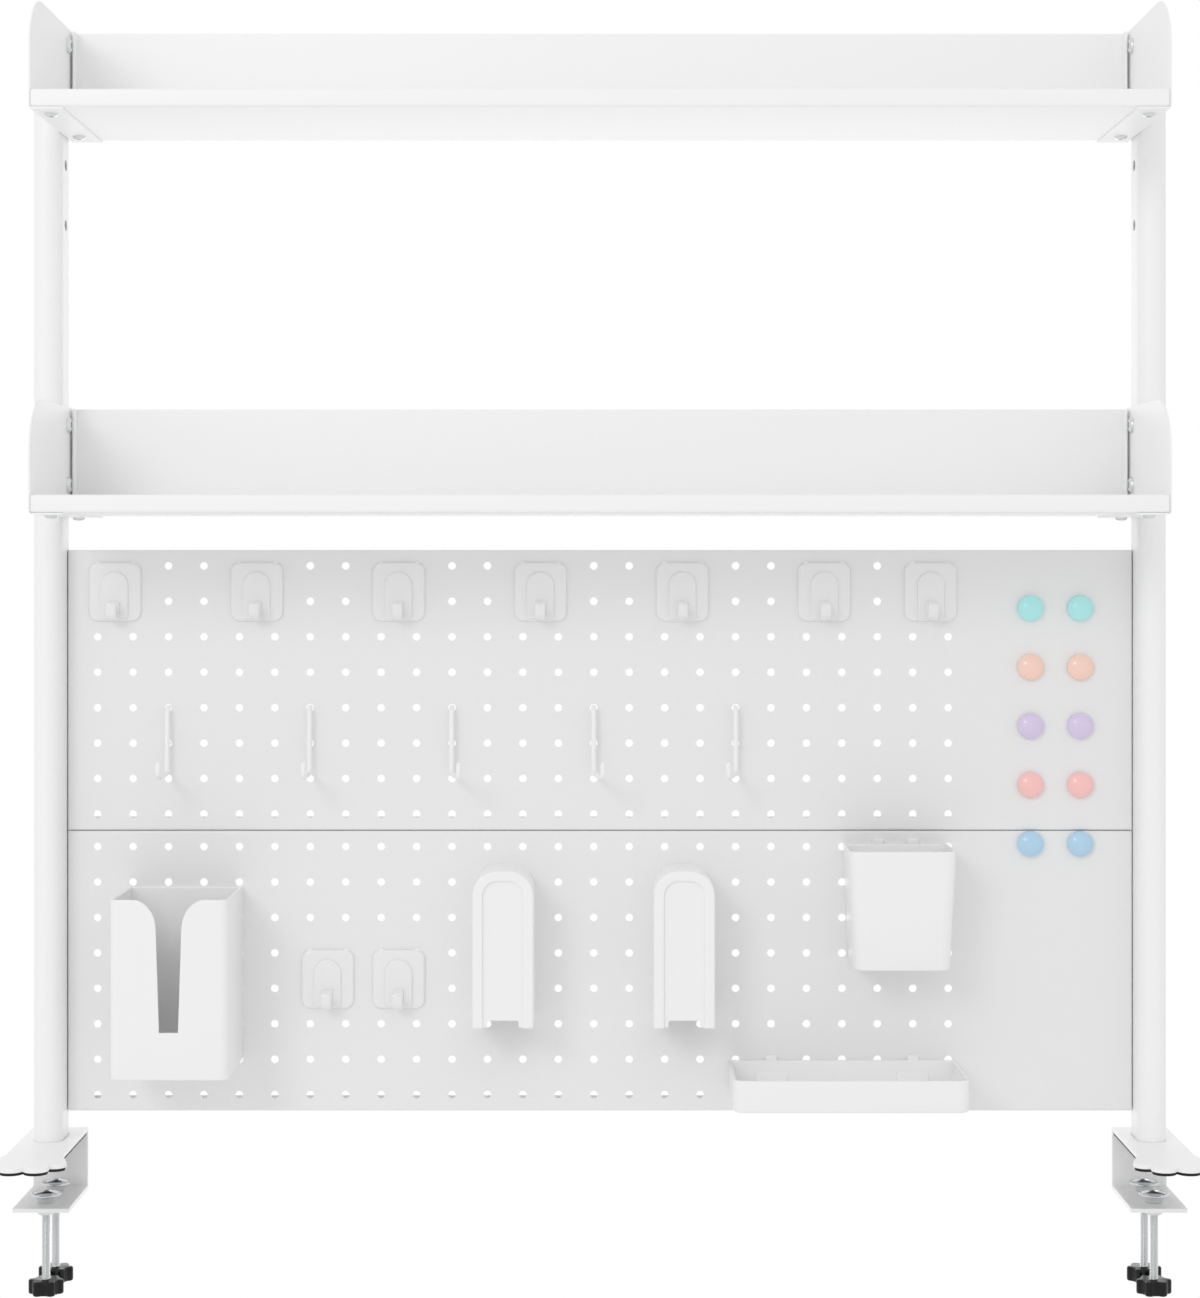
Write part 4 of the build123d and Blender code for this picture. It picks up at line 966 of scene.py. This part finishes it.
class DESKSHELF_OT_clamps(Operator):
    """Builds the bent clamp strips with their lobed plates, and the pads below them"""

    bl_idname = "deskshelf.clamps"
    bl_label = "Clamps and pads"

    def execute(self, context):
        """The plate is a ring between its lobed outline and the post's slot; the strip behind
        it is one path, bend, web and bend, carried across; the jaw is a punched sheet."""
        size = sizes()
        steel, bend, half = size.clamp_steel, size.clamp_bend, size.clamp_width / 2
        for side in SIDES:
            low, high = node_box(f"{side}_clamp_bracket")
            post_low, post_high = node_box(f"{side}_post")
            x, y, _ = (post_low + post_high) / 2
            web, top, under = high[1] - steel, high[2], high[2] - steel
            rods = [sum(node_box(f"{side}_{place}_clamp_rod"))[1] / 2 for place in ROD_PLACES]
            jaw = upright(x, 0, low[2] + steel)
            skin = Skin()
            ends = (-half, half), (low[1] + size.jaw_inset, web)
            holes = [0], np.array(rods)
            cell, radius = size.rod_cell, size.rod_hole / 2
            x_lines, y_lines = punched_sheet(skin, jaw, *ends, *holes, cell, radius, steel)
            walk, _ = edge_walk(x_lines, y_lines)
            free = np.roll(walk, len(y_lines) - 1, 0)[: 2 * len(y_lines) + len(x_lines) - 2]
            skin.grid(np.stack([jaw(*free.T, h) for h in (0.0, -steel)]))

            rear, front = plate_outline(web - y, x_lines, y - low[1])
            outer = np.concatenate([rear, front])
            slot = slot_outline(outer, (post_high[0] - post_low[0]) / 2 + SLOT_GAP, SLOT_HALF)
            place = upright(x, y)
            ring = ((outer, top), (slot, top), (slot, under), (outer, under))
            skin.grid(np.stack([place(*path.T, z) for path, z in ring]), wrap=True)
            edge = np.concatenate([rear[-1:], front, rear[:1]])
            skin.grid(np.stack([place(*edge.T, z) for z in (top, under)]))

            upper_bend = arc((high[1] - bend, top - bend), bend, 90, 0)
            lower_bend = arc((high[1] - bend, low[2] + bend), bend, 0, -90)
            outside = np.concatenate([[(web, top)], upper_bend, lower_bend, [(web, low[2])]])
            inside = np.repeat([(web, under), (web, low[2] + steel)], len(outside) // 2, 0)
            walls = [points(x + x_lines, path[:, :1], path[:, 1:]) for path in (outside, inside)]
            for wall in walls:
                skin.grid(wall)
            for end in (0, -1):
                skin.grid(np.stack([wall[:, end] for wall in walls]))
            node = f"{side}_clamp_bracket"
            piece(f"{side}_clamp", skin, "powder_coated_steel", node, bevel=CLAMP_BEVEL)

            pad_low, pad_high = node_box(f"{side}_clamp_pad")
            drawn = high[0] - pad_high[0]
            pad = Skin()
            slab(pad, outer, [(pad_low[2], drawn), (pad_high[2], drawn)], place)
            piece(f"{side}_pad", pad, "nitrile_rubber", f"{side}_clamp_pad")
            nut_coats = bpy.data.objects[f"{side}_clamp_nuts"].data.materials
            nut_coats.clear()
            nut_coats.append(finish("zinc_plated_steel"))
        return {"FINISHED"}


class DESKSHELF_OT_clamp_screws(Operator):
    """Builds the four clamp screws: threaded rods, lobed knobs and dished feet"""

    bl_idname = "deskshelf.clamp_screws"
    bl_label = "Clamp screws"

    def execute(self, context):
        """Each screw is built round the middle of its own rod."""
        for key in (f"{side}_{place}" for side in SIDES for place in ROD_PLACES):
            low, high = node_box(f"{key}_clamp_rod")
            place = upright(*(low[:2] + high[:2]) / 2)
            rod, knob, foot = Skin(), Skin(), Skin()
            add_thread(rod, low, high, place)
            add_knob(knob, *node_box(f"{key}_clamp_knob"), place)
            add_foot(foot, *node_box(f"{key}_clamp_foot"), place)
            screw = f"{key}_screw"
            zinc = "zinc_plated_steel"
            piece(f"{key}_rod", rod, zinc, f"{key}_clamp_rod", screw, crease=60)
            piece(f"{key}_knob", knob, "moulded_nylon", f"{key}_clamp_knob", screw)
            piece(f"{key}_foot_disc", foot, zinc, f"{key}_clamp_foot", f"{key}_foot")
        return {"FINISHED"}


def add_thread(skin, low, high, place):
    """Threaded rod: its radius falls and rises once in a pitch along it, and the thread's start
    moves by one pitch round it. Both ends are turned down over a third of a pitch."""
    size = sizes()
    around = full_turn(THREAD_POINTS) / (2 * np.pi)
    height = np.arange(low[2], high[2], size.pitch / THREAD_RINGS)
    height = np.append(height, high[2])[:, None]
    # A zigzag, cut off to give flat crests and roots
    wave = np.abs((height / size.pitch - around) % 1 - 0.5) * 2
    depth = np.clip(wave * THREAD_SLOPE - THREAD_CREST, 0, 1) * size.thread
    ends = np.minimum(height - low[2], high[2] - height)
    radius = (high[0] - low[0]) / 2 - np.where(ends < size.pitch / 3, size.thread, depth)
    skin.body(rings_round(place, radius, height, THREAD_POINTS))


def add_knob(skin, low, high, place):
    """Knob whose outline ends where rays from its middle leave its core or one of six lobes."""
    size = sizes()
    rays = rays_at(full_turn(KNOB_POINTS))
    reach = (high[0] - low[0]) / 2 - size.knob_lobe
    edge = np.full(len(rays), size.knob_core)
    for lobe in rays[:: KNOB_POINTS // 6] * reach:
        edge = np.maximum(edge, far_side(rays, lobe, size.knob_lobe))
    slab(skin, rays * edge[:, None], rim_levels(low[2], high[2], KNOB_ROUND), place)


def add_foot(skin, low, high, place):
    """Dished foot: one profile, dish, rim, flare and socket for the rod, turned round."""
    edge, bottom, top = (high[0] - low[0]) / 2, low[2], high[2]
    rim = (edge, top) - np.array(FOOT_RIM)
    flare = arc((edge + FLARE_OUT, bottom), FOOT_FLARE, 90, 180)[1:]
    floor = top - SOCKET_FLOOR
    socket = [(FOOT_SOCKET, bottom), (FOOT_SOCKET, floor), (0, floor)]
    turned(skin, np.concatenate([[(0, rim[0, 1])], rim, flare, socket]), place)


def socket_head(skin, place, radius, height, shank, depth):
    """Button head screw on its shank: a dome of falling radius with a hexagonal socket."""
    sixth = np.pi / 6
    hexagon = np.cos(sixth) / np.cos((full_turn(HEAD_POINTS) + sixth) % (2 * sixth) - sixth)
    head = np.array(HEAD_DOME + HEAD_SOCKET) * (radius, height)
    profile = np.concatenate([[(0, -depth), (shank, -depth), (shank, 0)], head])
    reach = np.repeat(profile[:, :1], HEAD_POINTS, 1)
    reach[-len(HEAD_SOCKET) :] *= hexagon
    skin.grid(rings_round(place, reach, profile[:, 1:], HEAD_POINTS), wrap=True)


class DESKSHELF_OT_fasteners(Operator):
    """Builds the button head screws and bolts that hold the frame together"""

    bl_idname = "deskshelf.fasteners"
    bl_label = "Fasteners"

    def execute(self, context):
        """Places come from the shelves, posts and pegboards that the fasteners hold."""
        size = sizes()
        sheet = size.sheet
        bolts, side_screws, under_screws = Skin(), Skin(), Skin()
        for side, sign in SIDES.items():
            post_low, post_high = node_box(f"{side}_post")
            post_y = (post_low[1] + post_high[1]) / 2
            x = (post_high[0] if sign < 0 else post_low[0]) - sign * size.flange_screw
            for level in LEVELS:
                low, high = node_box(f"{level}_shelf")
                for rise in (size.bolt_rise, size.bolt_rise + size.bolt_pitch):
                    place = on_post(side, post_y, shelf_top(level) + rise, sheet)
                    socket_head(bolts, place, *BOLT)
                for y in (low[1] + size.flange_front, high[1] - size.flange_back):
                    socket_head(under_screws, downwards(x, y, low[2] - sheet), *SCREW)
                low, high = node_box(f"{level}_pegboard")
                for z in (low[2] + size.screw_edge, high[2] - size.screw_edge):
                    lift = sheet + size.board_gap
                    place = on_post(side, low[1] + size.board_screw, z, lift)
                    socket_head(side_screws, place, *SCREW)
        piece("bolts", bolts, "zinc_plated_steel", "shelf_bolts")
        piece("side_screws", side_screws, "zinc_plated_steel", "board_screws")
        piece("under_screws", under_screws, "zinc_plated_steel", "shelf_screws")
        return {"FINISHED"}


class DESKSHELF_OT_plate_hooks(Operator):
    """Builds the moulded plate hooks: a rounded plate, a raised strap and an upturned hook"""

    bl_idname = "deskshelf.plate_hooks"
    bl_label = "Plate hooks"

    def execute(self, context):
        """The hook is a rounded rectangle carried down, round a half circle and up."""
        size = sizes()
        thick, half, strap = size.hook_plate, size.hook_width / 2, size.strap_width / 2
        plate_rim = top_rim(thick, HOOK_ROUND, steps=6)
        plate_levels = [(0, HOOK_CHAMFER), (HOOK_CHAMFER, 0), *plate_rim]
        strap_levels = [(thick - STRAP_ROOT, 0), *top_rim(thick + size.strap, STRAP_ROUND)]
        across = size.curl_width / 2
        section = rectangle(-across, -CURL_HALF, across, CURL_HALF)
        section = rounded_outline(section, CURL_CORNER, steps=3)
        for level, (columns, row) in PLATE_HOOKS.items():
            low, high = node_box(f"{level}_plate_hooks")
            middle = (low[2] + high[2]) / 2
            plate = rounded_outline(rectangle(-half, low[2], half, high[2]), size.hook_corner)
            dome = rectangle(-strap, middle - size.strap_foot, strap, middle + size.strap_top)
            dome = rounded_outline(dome, STRAP_CORNERS)
            centre = BOARD_FACE - thick - CURL_HALF - size.curl, middle - size.curl_drop
            ring = arc(centre, size.curl, 0, -180, steps=12)
            # The tip has one more section half way up, so that it stays straight
            back, tip = ring[0] + (0, CURL_RISE), ring[-1] + (0, CURL_RUN)
            path = np.concatenate([[back], ring, [tip, ring[-1] + (0, size.curl_tip)]])
            skin = Skin()
            for x in column_x(columns) + size.peg_pitch / 2:
                slab(skin, plate, plate_levels, on_board(x, 0))
                slab(skin, dome, strap_levels, on_board(x, 0))
                carried(skin, section, *round_tip(points(x, *path.T), CURL_HALF))
            pegged = [column + step for column in columns for step in (0, 1)]
            add_pegs(skin, pegged, (row,), level)
            piece(f"{level}_hooks", skin, "milky_polycarbonate", f"{level}_plate_hooks")
        return {"FINISHED"}


class DESKSHELF_OT_wire_hooks(Operator):
    """Builds the five bent wire hooks, each with two pegs"""

    bl_idname = "deskshelf.wire_hooks"
    bl_label = "Wire hooks"

    def execute(self, context):
        """A circle carried along a path of straight lines joined by arcs; the arm leaves the
        stem at the hook's own turn."""
        size = sizes()
        radius, reach = size.wire / 2, size.peg_length
        top = row_z("upper", WIRE_ROW)
        stem_y = BOARD_FACE - size.wire_standoff
        for index, (column, turn) in enumerate(zip(WIRE_COLUMNS, np.radians(WIRE_TURNS)), 1):
            x = column_x(column)
            foot = np.array([x, stem_y, top - size.wire_stem])
            arm = np.array([math.sin(turn), -math.cos(turn), 0]) * size.wire_arm
            tip = foot + arm * WIRE_LEAN + (0, 0, size.wire_rise)
            corners = [(x, BOARD_FACE + reach, top), (x, stem_y, top), foot, foot + arm, tip]
            skin = Skin()
            path = rounded_path(corners, size.wire_bend)
            carried(skin, round_section(radius), *round_tip(path, radius))
            peg = on_board(x, top - size.peg_pitch)
            slab(skin, round_section(radius), [(-reach, 0), (size.wire_standoff, 0)], peg)
            name = f"wire_hook_{index}"
            piece(f"{name}_rod", skin, "powder_coated_steel", name, name)
        return {"FINISHED"}


def shell_levels(low, high, stops):
    """Heights and insets up the outside of a moulded shell, over its rim and down inside."""
    size = sizes()
    wall, foot = size.wall, foot_rim(low, size.foot_round)
    rim = arc((high - wall / 2, wall / 2), wall / 2, -90, 90)
    up = np.array([(z, 0.0) for z in stops]).reshape(-1, 2)
    return np.concatenate([foot, up, rim, up[::-1] + (0, wall), foot[::-1] + wall])


def holder_path(half_width, depth, corner, drawn, gap):
    """Level section of a holder that hangs on the board, drawn in by a distance: from the
    front's middle to the right, round the front corner, behind and back on the left, with the
    way to the front second. gap is half of an opening in front."""
    front = arc((half_width - corner, depth - corner), corner - drawn, 90, 0)
    centre = half_width - REAR_CORNER, REAR_CORNER
    # The rear corner keeps its four points on every level, also where it has no radius left
    rear = arc(centre, max(REAR_CORNER - drawn, 0.0) + LEAST_ROUND, 0, -90, steps=3)
    if drawn > REAR_CORNER:
        rear = np.repeat([(half_width - drawn, drawn)], 4, 0)
    return mirrored(np.concatenate([[(gap, depth - drawn)], front, rear]))


def holder(node, top, corner, taper=(0.0, 0.0), stops=(), opening=None):
    """Shell of a holder: its level section repeated at every height and inset, narrower and
    shallower towards the floor by the taper, and closed by a flat face below and by one on its
    floor. opening gives the gap in front at a height. Returns it with its loops and levels."""
    low, high = node_box(node)
    levels = shell_levels(low[2], top, stops)
    z = levels[:, 0]
    gaps = opening(z) if opening else z * 0
    loops = []
    for (height, drawn), gap in zip(levels, gaps):
        less = np.array(taper) * (top - height) / (top - low[2])
        half, depth = (high[0] - low[0] - less[0]) / 2, BOARD_FACE - low[1] - less[1]
        path = holder_path(half, depth, corner, drawn, gap)
        loops.append(on_board((low[0] + high[0]) / 2, 0)(path[:, 0], height, path[:, 1]))
    loops = np.stack(loops)
    skin = Skin()
    skin.grid(loops)
    skin.cap(loops[0])
    skin.cap(loops[-1])
    return skin, loops, levels


def add_tabs(skin, columns, top):
    """Small tabs that stand on the back rim of a holder, a little thinner than its wall."""
    size = sizes()
    corners = rectangle(-size.tab / 2, top - size.tab_sunk, size.tab / 2, top + size.tab_rise)
    outline = rounded_outline(corners, TAB_CORNERS)
    for x in column_x(columns):
        levels = rim_levels(TAB_INSET, size.wall - TAB_INSET, TAB_ROUND)
        slab(skin, outline, levels, on_board(x, 0))


class DESKSHELF_OT_holders(Operator):
    """Builds the tissue box, the pen cup and the small tray"""

    bl_idname = "deskshelf.holders"
    bl_label = "Box, cup and tray"

    def execute(self, context):
        """Each is one shell, carried up outside, over the rim and down inside. The tray has
        two wedges on its back wall."""
        size = sizes()
        skin = tissue_box()
        add_pegs(skin, *BOX_PEGS)
        piece("tissue_shell", skin, "moulded_abs", "tissue_box", "tissue_box")

        top = node_box("pen_cup")[0][2] + size.cup_height
        skin, _, _ = holder("pen_cup", top, size.corner, (size.cup_taper, size.cup_lean))
        add_tabs(skin, CUP_PEGS[0], top)
        add_pegs(skin, *CUP_PEGS)
        piece("cup_shell", skin, "moulded_abs", "pen_cup", "pen_cup")

        floor = node_box("small_tray")[0][2]
        top = floor + size.tray_height
        skin, _, _ = holder("small_tray", top, size.corner)
        back, foot, crest = BOARD_FACE - size.wall / 2, size.wall / 2, size.wall + size.boss_height
        wedge = [(back, floor + foot), (BOARD_FACE - size.boss_depth, floor + foot)]
        wedge += [(BOARD_FACE - size.wall, floor + crest), (back, floor + crest)]
        for x in column_x(TRAY_PEGS[0]):
            levels = rim_levels(-size.boss / 2, size.boss / 2, BOSS_ROUND)
            slab(skin, rounded_outline(wedge, BOSS_CORNERS), levels, lengthwise(x))
        add_tabs(skin, TRAY_PEGS[0], top)
        add_pegs(skin, *TRAY_PEGS)
        piece("tray_shell", skin, "moulded_abs", "small_tray", "small_tray")
        return {"FINISHED"}


def tissue_box():
    """Skin of the tissue box. Its front is open from the slot's foot upwards, and the opening
    widens in a quarter ellipse to the mouth."""
    size = sizes()
    low, high = node_box("tissue_box")
    foot, neck = low[2] + size.slot_foot, high[2] - size.mouth_depth
    narrow, wide = size.slot_low / 2, size.slot_high / 2

    def opening(z):
        """Half width of the slot and mouth at a height. The ellipse is left just before its
        end, where it would stand upright."""
        gaps = narrow + (z - foot) / (neck - foot) * (wide - narrow)
        share = np.clip((z - neck) / (high[2] - neck), 0, 1)
        bow = (size.mouth / 2 - wide) * (1 - np.sqrt(1 - share**2 * MOUTH_SHARE))
        return np.clip(gaps, narrow, wide) + bow

    bow = neck + (high[2] - neck) * np.sin(np.linspace(0, 1, 9) * np.pi / 2)
    stops = [foot, *bow[bow < high[2] - size.wall / 2]]
    skin, loops, levels = holder("tissue_box", high[2], size.box_corner, (0, 0), stops, opening)
    first, last = np.flatnonzero(np.isclose(levels[:, 0], foot))
    half = (last - first) // 2 + 1
    for end in (0, -1):
        edge = loops[first : last + 1, end]
        skin.grid(np.stack([edge[:half], edge[::-1][:half]]))
    for run in (loops[: first + 1], loops[last:], loops[[first, last]]):
        skin.grid(np.stack([run[:, 0], run[:, -1]]))
    return skin


class DESKSHELF_OT_arch_holders(Operator):
    """Builds the two arched holders with their raised rim and sunk front"""

    bl_idname = "deskshelf.arch_holders"
    bl_label = "Arched holders"

    def execute(self, context):
        """An L section, wall and rim, is carried over the arch; a back plate and the sunk
        front with its notch fill the arch."""
        size = sizes()
        wall, rim, shoulder = size.arch_wall, size.arch_rim, size.shoulder
        for side, column in zip(SIDES, ARCH_COLUMNS):
            name = f"{side}_arch_holder"
            low, high = node_box(name)
            half, depth = (high[0] - low[0]) / 2, BOARD_FACE - low[1]
            bottom, top = low[2], high[2]

            def arch(drawn, lift=0.0):
                """Open path over the arch, from its left foot to its right one."""
                centre = shoulder - half, top - shoulder
                left = arc(centre, shoulder - drawn, 180, 90, steps=8)
                return mirrored(np.concatenate([[(drawn - half, bottom + lift)], left]))

            behind, inner = depth - wall - size.arch_sink, ARCH_RIM_ROUND
            section = np.concatenate(
                [
                    [(0.0, 0.0)],
                    arc((depth - ARCH_EDGE, ARCH_EDGE), ARCH_EDGE, -90, 0, steps=4),
                    arc((depth - inner, rim - inner), inner, 0, 90, steps=3),
                    [(behind, rim), (behind, wall), (0.0, wall)],
                ]
            )
            paths = np.stack([arch(drawn) for _, drawn in section], 1)
            place = on_board((low[0] + high[0]) / 2, 0)
            skin = Skin()
            skin.body(place(paths[..., 0], paths[..., 1], section[None, :, 0]))
            slab(skin, arch(wall - ARCH_OVERLAP, OVERLAP), [(0.0, 0), (wall, 0)], place)
            across = size.notch / 2
            notch = rectangle(-across, bottom + OVERLAP, across, bottom + size.notch_height)
            notch = rounded_path(np.roll(notch, -1, 0), NOTCH_ROUND, steps=3)
            front = np.concatenate([arch(rim - ARCH_OVERLAP, OVERLAP), notch])
            slab(skin, front, [(behind, 0), (depth - size.arch_sink, 0)], place)
            add_pegs(skin, (column, column + 1), ARCH_ROWS)
            piece(f"{side}_arch", skin, "moulded_abs", name, name)
        return {"FINISHED"}


class DESKSHELF_OT_magnets(Operator):
    """Builds the ten round magnets in their five colours"""

    bl_idname = "deskshelf.magnets"
    bl_label = "Magnets"

    def execute(self, context):
        """A straight band below a shallow part of a sphere, turned round the middle."""
        band = sizes().magnet_band
        for key in MAGNET_COLOURS:
            for name in (f"{side}_{key}_magnet" for side in SIDES):
                low, high = node_box(name)
                radius, height = (high[0] - low[0]) / 2, high[1] - low[1]
                across = radius * np.cos(np.linspace(0, np.pi / 2, DOME_POINTS))
                ball = (radius**2 + (height - band) ** 2) / (2 * (height - band))
                dome = height - ball + np.sqrt(ball**2 - across**2)
                foot = [(0, 0), (radius - MAGNET_FOOT, 0), (radius, MAGNET_FOOT)]
                side_top = [(radius, band - MAGNET_SHOULDER)]
                profile = np.concatenate([foot, side_top, np.stack([across, dome], 1)[1:]])
                skin = Skin()
                x, _, z = (low + high) / 2
                turned(skin, profile, on_board(x, z), MAGNET_POINTS)
                piece(f"{name}_cap", skin, f"magnet_cap_{key}", name, name)
        return {"FINISHED"}


class DESKSHELF_OT_stage(Operator):
    """Sets up the camera, the lights, the white surroundings and the floor"""

    bl_idname = "deskshelf.stage"
    bl_label = "Stage"

    def execute(self, context):
        """The camera stands level at eye height, and its frame is shifted down. The background
        is white to the camera and a little darker as a source of light."""
        scene = context.scene
        scene.view_settings.view_transform = "Standard"
        lens = bpy.data.cameras.new("camera")
        lens.lens = EYE_LENS
        lens.shift_y = EYE_SHIFT
        lens.clip_end = EYE_REACH
        scene.camera = put("camera", lens, EYE_PLACE)
        scene.camera.rotation_euler = (math.pi / 2, 0, 0)

        for name, place, size, power in LAMPS:
            lamp = bpy.data.lights.new(name, "AREA")
            lamp.shape = "DISK"
            lamp.size = size
            lamp.energy = power
            way = Vector(LAMPS_AIM) - Vector(place)
            put(name, lamp, place).rotation_euler = way.to_track_quat("-Z", "Y").to_euler()

        world = bpy.data.worlds.new("surroundings")
        scene.world = world
        world.use_nodes = True
        tree = world.node_tree
        tree.nodes.clear()
        rays = add_node(tree, "ShaderNodeLightPath").outputs
        seen = {0: rays["Is Camera Ray"], 1: rays["Is Transmission Ray"]}
        straight = add_node(tree, "ShaderNodeMath", seen, operation="MAXIMUM")
        share = {"Value": straight.outputs[0], "To Min": SKY_LIGHT, "To Max": 1.0}
        strength = add_node(tree, "ShaderNodeMapRange", share).outputs["Result"]
        white = {"Color": linear("#FFFFFF"), "Strength": strength}
        sky = add_node(tree, "ShaderNodeBackground", white)
        add_node(tree, "ShaderNodeOutputWorld", {"Surface": sky.outputs["Background"]})

        mesh = bpy.data.meshes.new("floor")
        x, near, far, z = FLOOR
        corners = [(*corner, z) for corner in rectangle(-x, near, x, far)]
        mesh.from_pydata(corners, [], [(0, 1, 2, 3)])
        sockets = {"Base Color": linear("#F4F4F4"), "Roughness": 0.9}
        mesh.materials.append(new_finish("white_floor", sockets, grain=40.0, relief=0.05))
        put("floor", mesh)
        return {"FINISHED"}


class DESKSHELF_PT_panel(Panel):
    """Sidebar panel with the sizes, the colours and one button per group of pieces"""

    bl_idname = "DESKSHELF_PT_panel"
    bl_label = "Clamp-on desk shelf"
    bl_space_type = "VIEW_3D"
    bl_region_type = "UI"
    bl_category = "Desk shelf"

    def draw(self, context):
        """Lists the sizes, the colours and the buttons, one below the other."""
        for group in (context.scene.desk_shelf_sizes, context.scene.desk_shelf_colours):
            column = self.layout.column(align=True)
            for key in type(group).__annotations__:
                column.prop(group, key)
        column = self.layout.column(align=True)
        for operator in OPERATORS:
            column.operator(operator.bl_idname)


OPERATORS = (
    DESKSHELF_OT_pegboards,
    DESKSHELF_OT_posts,
    DESKSHELF_OT_shelves,
    DESKSHELF_OT_end_panels,
    DESKSHELF_OT_clamps,
    DESKSHELF_OT_clamp_screws,
    DESKSHELF_OT_fasteners,
    DESKSHELF_OT_plate_hooks,
    DESKSHELF_OT_wire_hooks,
    DESKSHELF_OT_holders,
    DESKSHELF_OT_arch_holders,
    DESKSHELF_OT_magnets,
    DESKSHELF_OT_stage,
)
CLASSES = (ShelfSizes, ShelfColours, *OPERATORS, DESKSHELF_PT_panel)


def register():
    """Makes the sizes, colours, operators and panel known to Blender."""
    for made in CLASSES:
        bpy.utils.register_class(made)
    bpy.types.Scene.desk_shelf_sizes = PointerProperty(type=ShelfSizes)
    bpy.types.Scene.desk_shelf_colours = PointerProperty(type=ShelfColours)


def unregister():
    """Takes them away again."""
    del bpy.types.Scene.desk_shelf_colours
    del bpy.types.Scene.desk_shelf_sizes
    for made in reversed(CLASSES):
        bpy.utils.unregister_class(made)


def main():
    """Registers the add-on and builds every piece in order."""
    register()
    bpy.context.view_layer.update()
    for operator in OPERATORS:
        getattr(bpy.ops.deskshelf, operator.bl_idname.split(".")[1])()


if __name__ == "__main__":
    main()
